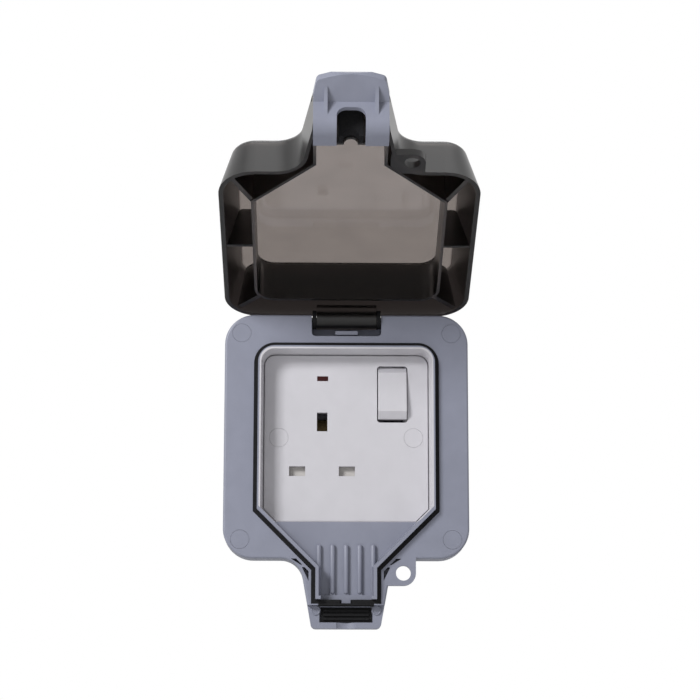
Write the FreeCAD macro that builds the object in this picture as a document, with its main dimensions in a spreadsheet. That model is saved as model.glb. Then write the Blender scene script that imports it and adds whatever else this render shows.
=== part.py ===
import FreeCAD, Part

import math
import os
import re

import Sketcher
from FreeCAD import Placement, Rotation, Vector

# Outdoor weatherproof socket: a wall box, a moulded front frame with a raised lip and a cable neck,
# a switched three-pin socket plate in the frame, and a hinged see-through lid with a latch at its end.
# Frame of the part: X to the right, Z up, the wall is the plane Y = 0 and the front faces -Y.
# "Lift" is the distance off the wall, which is -Y. Lengths are in millimetres, angles in degrees.

SIZES = {
    # Front frame
    "base_depth": 44.0,          # wall to the flat front of the frame
    "plate_half_width": 54.4,
    "plate_half_height": 54.7,
    "plate_corner": 13.3,
    "plate_edge": 1.0,           # rounding of the front edge
    "skirt_depth": 12.0,
    "frame_wall": 2.4,
    "neck_end": 85.0,            # below the plate's centre
    "neck_half_width": 15.2,     # at the lower end
    "neck_root_half": 20.6,      # where the neck leaves the plate's lower edge
    "neck_blend": 10.0,
    "neck_corner": 2.2,
    "land_drop": 4.2,            # the neck's end lies this far behind the plate's front
    "land_top": 75.0,
    # Lip and seal path round the opening
    "lip_half_width": 39.4,
    "lip_top": 40.1,
    "lip_shoulder": 33.1,        # the sides are straight down to here
    "lip_neck_half": 13.5,
    "lip_end": 72.6,
    "lip_corner": 7.4,
    "lip_rise": 3.5,
    "lip_wall": 1.4,
    "lip_cradle": 1.6,           # height of the lip's end over the channel floor
    "seal_width": 1.8,
    "seal_depth": 1.6,
    "seal_fit": 0.1,
    "recess_draft": 6.0,
    "channel_depth": 5.5,        # plate front to the cable channel's floor
    "rib_width": 2.2,
    "rib_rise": 1.2,
    "rib_pitch": 6.0,
    "rib_count": 5.0,
    "rib_top": 47.9,
    "module_edge": 37.8,         # lower edge of the socket plate
    "module_depth": 7.0,         # plate front to the socket plate's face
    "module_thick": 3.0,
    "module_gap": 0.3,
    "module_round": 0.4,
    "well_wall": 1.8,
    # Back box
    "box_inset": 3.6,
    "box_corner": 8.0,
    "box_wall": 2.4,
    "box_end_wall": 2.7,         # the upper and lower walls at the rim
    "box_draft": 1.5,
    "box_gap": 0.3,
    "box_seal_fit": 0.2,
    "box_seal_thick": 1.6,
    "box_seal_width": 2.0,
    "conduit_radius": 10.1,
    "conduit_lift": 16.0,
    "plug_flange": 1.5,
    "plug_head": 1.2,
    "plug_slot": 1.6,
    "wall_hole_radius": 2.4,
    "wall_hole_spread": 36.0,
    # Corner screws
    "corner_side": 7.5,          # from the plate's side edges
    "corner_end": 8.4,           # from the plate's upper and lower edges
    "corner_cap_radius": 4.1,
    "corner_cap_thick": 1.2,
    "cap_fit": 0.1,
    "corner_boss_radius": 4.0,
    "screw_play": 0.2,
    "screw_radius": 1.6,
    "screw_head_radius": 3.2,
    "screw_head_thick": 1.8,
    "screw_length": 22.0,
    "thread_fit": 0.04,
    # Hinge
    "hinge_drop": 1.8,           # axis below the plate's upper edge
    "hinge_depth": 2.8,          # axis behind the plate's front
    "notch_half_width": 15.6,
    "notch_height": 9.7,
    "notch_corner": 1.8,
    "notch_depth": 8.0,
    "knuckle_half_width": 13.4,
    "knuckle_radius": 4.4,
    "pin_radius": 1.1,
    "pin_half_length": 20.0,
    "pin_fit": 0.06,
    "stop_half_width": 5.0,
    "stop_height": 1.7,
    "stop_rise": 5.5,
    "stop_gap": 1.1,
    "bearing_wall": 1.6,
    "ledge_wall": 1.6,
    # Neck's end
    "pad_half_width": 11.7,
    "pad_high": 75.7,
    "pad_low": 82.4,
    "pad_depth": 4.0,
    "pad_fit": 0.2,
    "ridge_rise": 1.0,
    "lid_pad_half": 5.0,
    "lid_pad_length": 4.5,
    "lid_pad_notch": 3.2,
    "stud_x": 13.4,
    "stud_z": 77.1,
    "stud_radius": 2.2,
    "stud_rise": 0.4,
    "cable_lift": 44.2,
    "cable_groove_radius": 6.2,
    "pocket_wall": 1.1,
    "pocket_depth": 6.0,
    "pocket_wide": 2.4,
    "pocket_waist": 1.2,
    "pocket_rib": 0.5,
    "pocket_split": 3.3,
    "pocket_foot": 64.5,
    # Lock eye
    "eye_x": 25.2,
    "eye_z": 61.0,
    "eye_hole_radius": 3.3,
    "eye_rim": 2.2,
    "eye_thick": 3.0,
    # Lid
    "lid_gap": 0.4,              # rim to the plate's front when shut
    "lid_depth": 21.6,
    "lid_wall": 2.0,
    "lid_draft": 15.0,
    "lid_corner": 15.5,
    "lid_blend": 11.0,
    "lid_edge": 4.2,
    "lid_neck_end": 84.6,
    "neck_relief": 2.5,
    "lid_open_angle": 110.9,
    "core_start": 1.0,           # the inner form starts this far outside the rim
    "core_end": 90.0,            # and runs out past the neck's end
    "bead_gap": 0.35,            # sealing wall to the lip's side
    "bead_wall": 1.3,
    "bead_sink": 0.3,            # the sealing wall runs this far into the lid's front wall
    "bead_notch_radius": 2.8,
    "gusset_wall": 1.5,
    "gusset_drop": 0.8,          # webs start this far inside the rim
    "gusset_share": 0.92,        # and run to this share of the depth
    "corner_web_in": 1.9,
    # Latch
    "latch_pivot_drop": 81.6,    # below the plate's centre, lid shut
    "latch_pivot_lift": 16.4,    # off the rim plane
    "latch_pin_radius": 1.25,
    "latch_pin_half": 14.2,
    "latch_knuckle_radius": 2.8,
    "latch_knuckle_reach": 11.6,
    "latch_half_width": 15.2,
    "latch_leg_inner": 5.8,
    "latch_wall": 2.1,
    "latch_face": 87.6,
    "latch_foot_top": 75.6,
    "latch_foot_lift": 2.6,      # the feet reach this far past the rim plane
    "latch_bend": 6.5,
    "latch_crease": 10.2,
    "latch_tab_length": 11.8,
    "latch_tab_angle": 34.0,
    "latch_fin_x": 10.2,
    "latch_fin_wall": 1.5,
    "latch_arm_rise": 1.2,
    "latch_arch_lift": 8.8,
    "latch_arch_round": 4.0,
    "latch_tab_taper": 1.4,
    "latch_tab_round": 2.0,
    "latch_tip_sag": 2.4,
    "latch_fin_reach": 6.7,
    # Socket plate
    "socket_x": 0.35,            # neutral pin's centre
    "socket_z": 15.1,            # line and neutral pins below the centre
    "pin_pitch": 22.23,
    "slot_wide": 7.2,
    "slot_tall": 4.4,
    "earth_wide": 4.7,
    "earth_tall": 8.5,
    "housing_half_width": 27.9,
    "housing_low": 28.5,
    "housing_high": 34.5,
    "housing_depth": 20.0,
    "housing_wall": 2.0,
    "module_screw_x": 30.15,
    "lug_depth": 6.0,
    "lug_reach": 4.0,
    "lug_half_height": 4.0,
    "module_screw_radius": 1.5,
    "module_head_radius": 2.8,
    "module_head_thick": 1.4,
    "module_screw_length": 9.0,
    "module_cap_radius": 4.2,
    "module_cap_thick": 0.8,
    "rocker_x": 20.7,
    "rocker_z": 19.8,
    "rocker_half_width": 6.4,
    "rocker_half_height": 12.4,
    "rocker_round": 1.5,
    "rocker_gap": 0.45,
    "rocker_bevel": 2.9,         # length of the slope at each end
    "rocker_pivot_drop": 5.0,
    "rocker_swing": 14.0,
    "rocker_back": 2.6,          # pivot to the cap's back, edge and face
    "rocker_edge": 4.4,
    "rocker_front": 6.9,
    "stem_half": 4.0,
    "stem_thick": 4.0,
    "stem_reach": 11.0,
    "trunnion_reach": 5.0,
    "trunnion_radius": 1.2,
    "rocker_room_depth": 1.5,
    "post_half": 2.6,
    "post_wall": 1.2,
    "post_drop": 0.1,
    "blade_thick": 0.8,
    "blade_half": 7.0,
    "blade_swing": 16.0,
    "blade_gap": 0.5,
    "strip_wide": 5.0,
    "strip_wall": 0.8,
    "housing_round": 2.0,
    "housing_play": 0.3,
    "barrier_wall": 1.4,
    "barrier_top": 8.0,
    "shutter_gap": 0.3,
    "shutter_thick": 2.2,
    "shutter_lap": 0.6,
    "spring_radius": 0.9,
    "pin_half": 2.0,
    "clip_half": 4.0,
    "clip_rise": 12.0,
    "terminal_half": 2.8,
    "terminal_length": 6.4,
    "terminal_rise": 8.4,
    "terminal_screw": 1.2,
    "terminal_head": 2.0,
    "terminal_depth": 13.0,      # plate's rear to the wire's axis
    "wire_radius": 1.6,
    "lens_tail": 1.0,
    "lamp_length": 9.0,
    "lamp_radius": 2.0,
    "neon_x": 10.6,
    "neon_z": 26.8,
    "neon_wide": 5.0,
    "neon_tall": 2.2,
}

doc = FreeCAD.newDocument("weatherproof_socket")
sheet = doc.addObject("Spreadsheet::Sheet", "sizes")
for row, (alias, amount) in enumerate(SIZES.items(), start=1):
    sheet.set(f"A{row}", alias)
    sheet.set(f"B{row}", str(amount))
    sheet.setAlias(f"B{row}", alias)
doc.recompute()


def formula(text):
    """A formula in the sheet's own words, with each size named as a cell of the sheet."""
    return re.sub(r"[a-z][a-z_]*", lambda word: f"sizes.{word[0]}" if word[0] in SIZES else word[0], str(text))


def number(text):
    """The present value of a formula."""
    return float(sheet.evalExpression(formula(text)))


def sketch_on(body, name, lift="0", plane="XZ_Plane"):
    """A sketch on one of the body's own origin planes, moved along the plane's normal."""
    support = next(item for item in body.Origin.OriginFeatures if item.Role == plane)
    sketch = body.newObject("Sketcher::SketchObject", name)
    sketch.AttachmentSupport = (support, "")
    sketch.MapMode = "FlatFace"
    sketch.setExpression("AttachmentOffset.Base.z", formula(lift))
    return sketch


def bind(sketch, constraint, text):
    """Adds a dimension and ties it to its formula."""
    index = sketch.addConstraint(constraint)
    sketch.setExpression(f"Constraints[{index}]", formula(text))


def locate(sketch, item, point, across, up):
    """Places a point of the sketch by two dimensions from the sketch's origin."""
    for kind, axis, text in (("DistanceX", -2, across), ("DistanceY", -1, up)):
        if str(text) == "0":
            sketch.addConstraint(Sketcher.Constraint("PointOnObject", item, point, axis))
        else:
            bind(sketch, Sketcher.Constraint(kind, -1, 1, item, point, number(text)), text)


def circle(sketch, across, up, radius):
    """A full circle."""
    centre = Vector(number(across), number(up), 0)
    item = sketch.addGeometry(Part.Circle(centre, Vector(0, 0, 1), number(radius)), False)
    locate(sketch, item, 3, across, up)
    bind(sketch, Sketcher.Constraint("Radius", item, number(radius)), radius)


def outline(sketch, corners):
    """A closed outline through corners (across, up) or (across, up, radius of the rounding)."""
    spots = [Vector(number(corner[0]), number(corner[1]), 0) for corner in corners]
    radii = [corner[2] if len(corner) > 2 else None for corner in corners]
    count = len(corners)
    starts, ends, arcs = [], [], {}
    for index, spot in enumerate(spots):
        back = (spots[index - 1] - spot).normalize()
        ahead = (spots[(index + 1) % count] - spot).normalize()
        if radii[index] is None:
            starts.append(spot)
            ends.append(spot)
            continue
        radius = number(radii[index])
        half = back.getAngle(ahead) / 2
        starts.append(spot + back * (radius / math.tan(half)))
        ends.append(spot + ahead * (radius / math.tan(half)))
        centre = spot + (back + ahead).normalize() * (radius / math.sin(half))
        left_turn = back.cross(ahead).z < 0
        first, last = (starts[-1], ends[-1]) if left_turn else (ends[-1], starts[-1])
        turns = [math.atan2(end.y - centre.y, end.x - centre.x) for end in (first, last)]
        arcs[index] = (Part.ArcOfCircle(Part.Circle(centre, Vector(0, 0, 1), radius), *turns), left_turn)
    lines = []
    for index in range(count):
        segment = Part.LineSegment(ends[index], starts[(index + 1) % count])
        lines.append(sketch.addGeometry(segment, False))
    for index in range(count):
        across, up = corners[index][:2]
        before, after = lines[index - 1], lines[index]
        if radii[index] is None:
            sketch.addConstraint(Sketcher.Constraint("Coincident", before, 2, after, 1))
            locate(sketch, after, 1, across, up)
            continue
        corner = sketch.addGeometry(Part.Point(spots[index]), True)
        locate(sketch, corner, 1, across, up)
        sketch.addConstraint(Sketcher.Constraint("PointOnObject", corner, 1, before))
        sketch.addConstraint(Sketcher.Constraint("PointOnObject", corner, 1, after))
        curve, left_turn = arcs[index]
        arc = sketch.addGeometry(curve, False)
        first, last = (1, 2) if left_turn else (2, 1)
        sketch.addConstraint(Sketcher.Constraint("Tangent", before, 2, arc, first))
        sketch.addConstraint(Sketcher.Constraint("Tangent", arc, last, after, 1))
        bind(sketch, Sketcher.Constraint("Radius", arc, number(radii[index])), radii[index])


def box_corners(left, right, low, high, radius=None):
    """The four corners of an upright rectangle."""
    spots = [(left, low), (right, low), (right, high), (left, high)]
    return [spot + (radius,) if radius else spot for spot in spots]


def extrude(body, kind, sketch, name, length, backward=False, taper=None, both=False, refine=False):
    """A pad or a pocket along the sketch's normal, checked by its volume."""
    before = body.Shape.Volume if body.Tip and not body.Shape.isNull() else 0.0
    feature = body.newObject(f"PartDesign::{kind}", name)
    feature.Profile = sketch
    feature.Refine = refine
    feature.setExpression("Length", formula(length))
    feature.Reversed = backward
    feature.Midplane = both
    if taper:
        feature.setExpression("TaperAngle", formula(taper))
    doc.recompute()
    change = body.Shape.Volume - before
    if (change <= 0) if kind == "Pad" else (change >= 0):
        raise ValueError(f"{body.Label}: {name} changes nothing")
    return feature


def pad(body, sketch, name, length, **options):
    return extrude(body, "Pad", sketch, name, length, **options)


def pocket(body, sketch, name, length, **options):
    return extrude(body, "Pocket", sketch, name, length, **options)


def dress(body, kind, name, size, chosen):
    """A fillet or chamfer on the edges of the body's tip that the chosen test accepts."""
    base = body.Tip
    edges = [f"Edge{index}" for index, edge in enumerate(base.Shape.Edges, start=1) if chosen(edge)]
    if not edges:
        raise ValueError(f"{body.Label}: {name} finds no edge")
    feature = body.newObject(f"PartDesign::{kind}", name)
    feature.Base = (base, edges)
    feature.setExpression("Radius" if kind == "Fillet" else "Size", formula(size))
    doc.recompute()
    if feature.Shape.isNull() or not feature.isValid():
        raise ValueError(f"{body.Label}: {name} fails")
    return feature


def new_body(label):
    body = doc.addObject("PartDesign::Body", label)
    body.Label = label
    return body


def at_lift(lift, slack=0.01):
    """Accepts edges that lie at one distance off the wall."""
    place = -number(lift)
    return lambda edge: edge.BoundBox.YLength < slack and abs(edge.BoundBox.YMin - place) < slack


# Outlines that several pieces share

PLATE_FRONT = "base_depth"
SKIRT_REAR = "(base_depth - skirt_depth)"
NECK_SLOPE = "((neck_root_half - neck_half_width) / (neck_end - plate_half_height))"
RECESS_LEAN = "((lip_rise + channel_depth) * tan(recess_draft * 1 deg))"
SEAT_INSET = f"(lip_wall + {RECESS_LEAN})"
CHANNEL_FLOOR = "(base_depth - channel_depth)"
MODULE_FACE = "(base_depth - module_depth)"
MODULE_REAR = "(base_depth - module_depth - module_thick)"
BOX_RIM = "(base_depth - frame_wall - box_seal_thick)"
CORNER_X = "(plate_half_width - corner_side)"
CORNER_Z = "(plate_half_height - corner_end)"
HINGE_LIFT = "(base_depth - hinge_depth)"
HINGE_UP = "(plate_half_height - hinge_drop)"


def mirror(spots):
    """The right half of an outline, from top to bottom, closed by its mirror image on the left."""
    return spots + [("-" + spot[0],) + spot[1:] for spot in reversed(spots)]


def plate_outline(drop="0", neck_low="neck_end", neck_corner="neck_corner"):
    """The frame's outline: a rounded square that runs into the cable neck."""
    return mirror([
        ("plate_half_width", f"plate_half_height - {drop}", "plate_corner"),
        ("plate_half_width", f"-plate_half_height - {drop}", "plate_corner"),
        ("neck_root_half", f"-plate_half_height - {drop}", "neck_blend"),
        ("neck_half_width", f"-{neck_low} - {drop}") + ((neck_corner,) if neck_corner else ()),
    ])


def seal_outline(offset, drop="0"):
    """The path of lip and seal, moved outwards by an offset."""
    lean = f"{offset} * tan(22.5 deg)"
    return mirror([
        (f"(lip_half_width + {offset})", f"lip_top + {offset} - {drop}", f"lip_corner + {offset}"),
        (f"(lip_half_width + {offset})", f"-lip_shoulder - {lean} - {drop}"),
        (f"(lip_neck_half + {offset})", f"lip_neck_half - lip_half_width - lip_shoulder - {lean} - {drop}"),
        (f"(lip_neck_half + {offset})", f"-lip_end - {offset} - {drop}"),
    ])


def module_outline(gap):
    """The socket plate's outline: the recess with its lower corners cut by the diagonals."""
    inset = f"({SEAT_INSET} + {gap})"
    reach = f"(lip_half_width + lip_shoulder - {inset} * sqrt(2))"
    half = f"(lip_half_width - {inset})"
    edge = f"(module_edge - {gap} / 2)"
    return mirror([
        (half, f"lip_top - {inset}", f"lip_corner - {inset}"),
        (half, f"{half} - {reach}"),
        (f"({reach} - {edge})", f"-{edge}"),
    ])


def octagon(half, tall, cut):
    """A rectangle with cut corners."""
    return mirror([(f"({half} - {cut})", tall), (half, f"({tall} - {cut})"),
                   (half, f"{cut} - {tall}"), (f"({half} - {cut})", f"-{tall}")])


# Front frame

def make_front_frame():
    """The moulded front: plate, skirt, raised lip, recess, cable channel, neck, hinge notch and lock eye."""
    body = new_body("front_frame")
    sketch = sketch_on(body, "frame_outline", SKIRT_REAR)
    outline(sketch, plate_outline())
    pad(body, sketch, "frame_block", "skirt_depth")
    dress(body, "Fillet", "front_edge", "plate_edge", at_lift(PLATE_FRONT))
    hollow_frame(body)
    add_hinge_notch(body)
    add_eye(body, PLATE_FRONT + " - eye_thick", "0")
    add_lip(body)
    cut_recess(body)
    add_channel(body)
    finish_neck(body)
    drill_frame(body)
    return body


def hollow_frame(body):
    """Leaves a skirt round the plate and a wall round the recess, with the neck open from behind."""
    inner = "(plate_half_width - frame_wall)"
    tall = "(plate_half_height - frame_wall)"
    wall = "(lip_half_width + seal_fit)"
    foot = f"(lip_half_width + lip_shoulder + well_wall - {tall})"
    sketch = sketch_on(body, "hollow_outline", SKIRT_REAR)
    outline(sketch, mirror([
        (wall, "lip_top + seal_fit", "lip_corner"),
        (wall, "-lip_shoulder"),
        (foot, "-" + tall),
        (inner, "-" + tall, "plate_corner - frame_wall"),
        (inner, tall, "plate_corner - frame_wall"),
    ][::-1])[::-1])
    pocket(body, sketch, "rear_hollow", "skirt_depth - frame_wall", backward=True)
    sketch = sketch_on(body, "neck_hollow_outline", SKIRT_REAR)
    outline(sketch, box_corners("-lip_neck_half", "lip_neck_half", "-lip_end + lip_wall", f"-{tall}"))
    pocket(body, sketch, "neck_hollow", "skirt_depth - channel_depth - frame_wall", backward=True)


def add_hinge_notch(body):
    """A notch in the plate's upper edge with a bearing block on both sides for the hinge pin."""
    floor = "(plate_half_height - notch_height)"
    sketch = sketch_on(body, "bearing_outline", PLATE_FRONT + " - notch_depth - ledge_wall")
    outline(sketch, box_corners("-pin_half_length - bearing_wall", "pin_half_length + bearing_wall",
                                f"{floor} - ledge_wall", "plate_half_height - frame_wall / 2"))
    pad(body, sketch, "bearing_block", "notch_depth + ledge_wall - frame_wall / 2")
    sketch = sketch_on(body, "notch_outline", PLATE_FRONT)
    outline(sketch, [("-notch_half_width", floor, "notch_corner"), ("notch_half_width", floor, "notch_corner"),
                     ("notch_half_width", "plate_half_height + 1"),
                     ("-notch_half_width", "plate_half_height + 1")])
    pocket(body, sketch, "hinge_notch", "notch_depth")
    sketch = sketch_on(body, "stop_outline", PLATE_FRONT + " - notch_depth")
    outline(sketch, box_corners("-stop_half_width", "stop_half_width", floor + " + stop_gap",
                                floor + " + stop_gap + stop_height"))
    pad(body, sketch, "notch_stop", "stop_rise")
    sketch = sketch_on(body, "pin_bore_outline", "0", "YZ_Plane")
    circle(sketch, "-" + HINGE_LIFT, HINGE_UP, "pin_radius")
    pocket(body, sketch, "pin_bore", "2 * pin_half_length", both=True)


def add_lip(body):
    """The raised lip and the groove for the seal round its foot."""
    sketch = sketch_on(body, "lip_outline", MODULE_REAR)
    outline(sketch, seal_outline("0"))
    pad(body, sketch, "lip_block", "module_depth + module_thick + lip_rise")
    sketch = sketch_on(body, "groove_outline", PLATE_FRONT)
    outline(sketch, seal_outline("0"))
    outline(sketch, seal_outline("(seal_width + seal_fit)"))
    pocket(body, sketch, "seal_groove", "seal_depth + seal_fit")


def cut_recess(body):
    """The tapered recess inside the lip, the socket plate's seat and the opening behind it."""
    sketch = sketch_on(body, "recess_outline", PLATE_FRONT + " + lip_rise")
    outline(sketch, seal_outline("(-lip_wall)"))
    pocket(body, sketch, "recess", "lip_rise + channel_depth", taper="-recess_draft")
    sketch = sketch_on(body, "seat_outline", CHANNEL_FLOOR)
    outline(sketch, module_outline("(-0.001)"))
    pocket(body, sketch, "module_seat", "module_depth + module_thick - channel_depth")
    sketch = sketch_on(body, "housing_opening", MODULE_REAR)
    half = "(housing_half_width + module_gap)"
    outline(sketch, box_corners("-" + half, half, "-housing_low - module_gap", "housing_high + module_gap"))
    pocket(body, sketch, "housing_way", "skirt_depth")
    near, far = "(housing_half_width + 2 * module_gap)", "(module_screw_x + lug_reach)"
    sketch = sketch_on(body, "lug_outline", SKIRT_REAR + " - lug_depth")
    outline(sketch, box_corners("-" + far, "-" + near, "-lug_half_height", "lug_half_height"))
    outline(sketch, box_corners(near, far, "-lug_half_height", "lug_half_height"))
    pad(body, sketch, "screw_lugs", "lug_depth")
    sketch = sketch_on(body, "lug_hole_outline", MODULE_REAR)
    circle(sketch, "-module_screw_x", "0", "module_screw_radius")
    circle(sketch, "module_screw_x", "0", "module_screw_radius")
    pocket(body, sketch, "lug_holes", "lug_depth + skirt_depth")


def add_channel(body):
    """Rounded ribs along the cable channel's floor, and the low cradle at its end."""
    tip = "(lip_end - lip_wall)"
    start = "(0 - rib_pitch * (rib_count - 1) / 2)"
    sketch = sketch_on(body, "rib_outline", CHANNEL_FLOOR + " - seal_fit")
    outline(sketch, [(f"{start} - rib_width / 2", f"-{tip} - seal_fit"),
                     (f"{start} + rib_width / 2", f"-{tip} - seal_fit"),
                     (f"{start} + rib_width / 2", "-rib_top", "rib_width / 2 - 0.02"),
                     (f"{start} - rib_width / 2", "-rib_top", "rib_width / 2 - 0.02")])
    rib = pad(body, sketch, "channel_rib", "rib_rise + seal_fit")
    row = body.newObject("PartDesign::LinearPattern", "channel_ribs")
    row.Originals = [rib]
    row.Direction = (sketch, ["H_Axis"])
    row.setExpression("Length", formula("rib_pitch * (rib_count - 1)"))
    row.setExpression("Occurrences", formula("rib_count"))
    body.Tip = row
    doc.recompute()
    sketch = sketch_on(body, "cradle_outline", PLATE_FRONT + " + lip_rise")
    half = f"(lip_neck_half - lip_wall - {RECESS_LEAN})"
    outline(sketch, box_corners("-" + half, half, "-land_top - 1", f"-{tip} + 2 * lip_wall"))
    pocket(body, sketch, "cradle", "lip_rise + channel_depth - lip_cradle")


def finish_neck(body):
    """The lower land with its cable pad pocket, catch studs and cable groove."""
    land = "(base_depth - land_drop)"
    sketch = sketch_on(body, "land_outline", PLATE_FRONT + " + lip_rise")
    outline(sketch, box_corners("-neck_root_half", "neck_root_half", "-neck_end - 1", "-land_top"))
    pocket(body, sketch, "neck_land", "lip_rise + land_drop")
    sketch = sketch_on(body, "pad_pocket_outline", land)
    outline(sketch, box_corners("-pad_half_width", "pad_half_width", "-pad_low", "-pad_high"))
    pocket(body, sketch, "pad_pocket", "pad_depth")
    sketch = sketch_on(body, "stud_outline", land + " - pad_depth")
    circle(sketch, "-stud_x", "-stud_z", "stud_radius")
    circle(sketch, "stud_x", "-stud_z", "stud_radius")
    pad(body, sketch, "catch_studs", "pad_depth + stud_rise")
    add_shoulder_pockets(body)
    sketch = sketch_on(body, "cable_groove_outline", "-neck_end - 1", "XY_Plane")
    circle(sketch, "0", "-cable_lift", "cable_groove_radius")
    pocket(body, sketch, "cable_groove", "neck_end + 1 - pad_low + seal_fit", backward=True)


def add_shoulder_pockets(body):
    """Two slender blind pockets each side between the seal's wall and the neck's curved outer wall."""
    reach = "(lip_half_width + lip_shoulder + (seal_width + seal_fit + pocket_wall) * sqrt(2))"
    inner = "(lip_neck_half + seal_width + seal_fit + pocket_wall)"
    top = "plate_half_height"
    split = "(plate_half_height + pocket_split)"
    upper = [(f"({reach} - {top})", "-" + top), (f"({reach} - {top} + pocket_wide)", "-" + top),
             (f"({reach} - {split} + pocket_waist)", f"-{split} + pocket_rib"),
             (f"({reach} - {split} + pocket_rib)", f"-{split} + pocket_rib")]
    lower = [(f"({reach} - {split} - pocket_rib)", f"-{split} - pocket_rib"),
             (f"({reach} - {split} - pocket_rib + pocket_waist)", f"-{split} - pocket_rib"),
             (inner, "-pocket_foot"), (inner, f"{inner} - {reach}")]
    sketch = sketch_on(body, "shoulder_pocket_outline", PLATE_FRONT)
    for side in ("", "-"):
        for corners in (upper, lower):
            outline(sketch, [(side + across, up) for across, up in corners])
    pocket(body, sketch, "shoulder_pockets", "pocket_depth")


def add_eye(body, lift, drop, backward=False):
    """A flat ear with a hole for a padlock, beside the neck."""
    sketch = sketch_on(body, "eye_outline", lift)
    right, low = "(eye_x + eye_hole_radius + eye_rim)", "(eye_z + eye_hole_radius + eye_rim)"
    reach = "(lip_half_width + lip_shoulder + seal_width * sqrt(2))"
    inner = "(lip_neck_half + seal_width + pocket_wall)"
    outline(sketch, [(f"{reach} - plate_half_height + plate_edge", f"-plate_half_height + plate_edge - {drop}"),
                     (inner, f"{inner} - {reach} - {drop}"), (inner, f"-{low} - {drop}"),
                     (right, f"-{low} - {drop}", "eye_hole_radius + eye_rim - 0.02"),
                     (right, f"-plate_half_height + plate_edge - {drop}")])
    circle(sketch, "eye_x", f"-eye_z - {drop}", "eye_hole_radius")
    pad(body, sketch, "lock_eye", "eye_thick", backward=backward)


def drill_frame(body):
    """Seats for the corner screws and their caps."""
    sketch = sketch_on(body, "boss_outline", BOX_RIM)
    four_circles(sketch, CORNER_X, CORNER_Z, "corner_boss_radius")
    pad(body, sketch, "corner_bosses", "box_seal_thick + frame_wall / 2")
    for name, lift, radius, depth in (
        ("cap_seats", PLATE_FRONT, "corner_cap_radius + cap_fit", "corner_cap_thick"),
        ("head_seats", PLATE_FRONT + " - corner_cap_thick", "screw_head_radius + cap_fit", "screw_head_thick"),
        ("screw_ways", PLATE_FRONT, "screw_radius + screw_play", "skirt_depth"),
    ):
        sketch = sketch_on(body, f"{name}_outline", lift)
        four_circles(sketch, CORNER_X, CORNER_Z, radius)
        pocket(body, sketch, name, depth)


# Lid, modelled shut about its hinge axis and turned open by its placement

RIM = "(hinge_depth + lid_gap)"
LID_LEAN = "(lid_depth * tan(lid_draft * 1 deg))"


def add_block(body, name, inset, wall, rear, depth, end):
    """A solid lid: the square part leans in by the draft, and the neck's sides are upright."""
    corner = f"(lid_corner - {inset})"
    square = sketch_on(body, f"{name}_square_outline", rear)
    outline(square, box_corners(f"-(plate_half_width - {inset})", f"(plate_half_width - {inset})",
                                f"{inset} - plate_half_height - {HINGE_UP}", f"hinge_drop - {inset}", corner))
    pad(body, square, f"{name}_square", depth, taper="-lid_draft")
    neck = sketch_on(body, f"{name}_neck_outline", rear)
    root = f"lid_depth - plate_half_height - {HINGE_UP}"
    outline(neck, mirror([
        (f"(neck_root_half - {wall} + (lid_depth - {wall}) * {NECK_SLOPE})", root),
        (f"(neck_half_width - {wall})", f"-{end} - {HINGE_UP}")]))
    pad(body, neck, f"{name}_neck", depth, refine=True)


def loft(body, kind, name, sections):
    """A straight-sided loft between two sketches."""
    feature = body.newObject(f"PartDesign::{kind}Loft", name)
    feature.Profile = sections[0]
    feature.Sections = sections[1:]
    feature.Ruled = True
    feature.Refine = False
    doc.recompute()
    if not feature.isValid() or body.Shape.isNull():
        raise ValueError(f"{body.Label}: {name} fails")
    return feature


def make_lid():
    """The see-through lid: drafted skirt, inner sealing wall, gussets, hinge knuckle and lock ear."""
    body = new_body("lid_cover")
    add_lid_shell(body)
    relieve_neck_end(body)
    add_sealing_wall(body)
    add_gussets(body)
    add_lid_hinge(body)
    add_eye(body, RIM, HINGE_UP)
    turn_lid(body)
    return body


def add_lid_shell(body):
    """A drafted, rounded shell with the neck's end left open: an outer form less an inner one."""
    add_block(body, "lid", "0", "0", RIM, "lid_depth", "lid_neck_end")
    round_lid(body, "lid_depth", "lid_blend", "lid_edge")

    core = new_body("lid_core")
    floor = "(lid_depth - lid_wall)"
    add_block(core, "core", "(lid_wall - core_start * tan(lid_draft * 1 deg))", "lid_wall",
              RIM + " - core_start", floor + " + core_start", "core_end")
    round_lid(core, floor, "lid_blend + lid_wall", "lid_edge - lid_wall")

    cut = body.newObject("PartDesign::Boolean", "lid_cavity")
    cut.Type = "Cut"
    cut.addObject(core)
    body.Tip = cut
    doc.recompute()


def round_lid(body, depth, blend, edge):
    """Rounds the neck's two roots and the front edge."""
    dress(body, "Fillet", f"{body.Label}_roots", blend, lambda line: is_root(line, depth))
    front = at_lift(f"{RIM} + {depth}")
    end = number(f"{edge} - lid_neck_end - {HINGE_UP}")
    dress(body, "Fillet", f"{body.Label}_front", edge,
          lambda line: front(line) and not line.BoundBox.ZMax < end)


def is_root(edge, depth):
    """Whether an edge is one of the two slanted corners at the neck's root."""
    box = edge.BoundBox
    reach = max(abs(box.XMin), abs(box.XMax))
    if box.YLength < number(depth) - 1 or box.ZMin < number("-lid_neck_end") - number(HINGE_UP) + 1:
        return False
    return number("neck_half_width - lid_wall") < reach < number("neck_root_half") + 3


def relieve_neck_end(body):
    """Cuts the neck's two lower corners at a slant, where the latch curls round them."""
    end = f"(0 - lid_neck_end - {HINGE_UP})"
    sketch = sketch_on(body, "relief_outline", "0", "YZ_Plane")
    outline(sketch, [(f"-{RIM} - neck_relief", end), (f"-{RIM}", f"{end} + neck_relief"),
                     (f"1 - {RIM}", f"{end} + neck_relief"), (f"1 - {RIM}", f"{end} - 1"),
                     (f"-{RIM} - neck_relief", f"{end} - 1")])
    pocket(body, sketch, "neck_relief_cut", "3 * neck_half_width", both=True)


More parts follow.
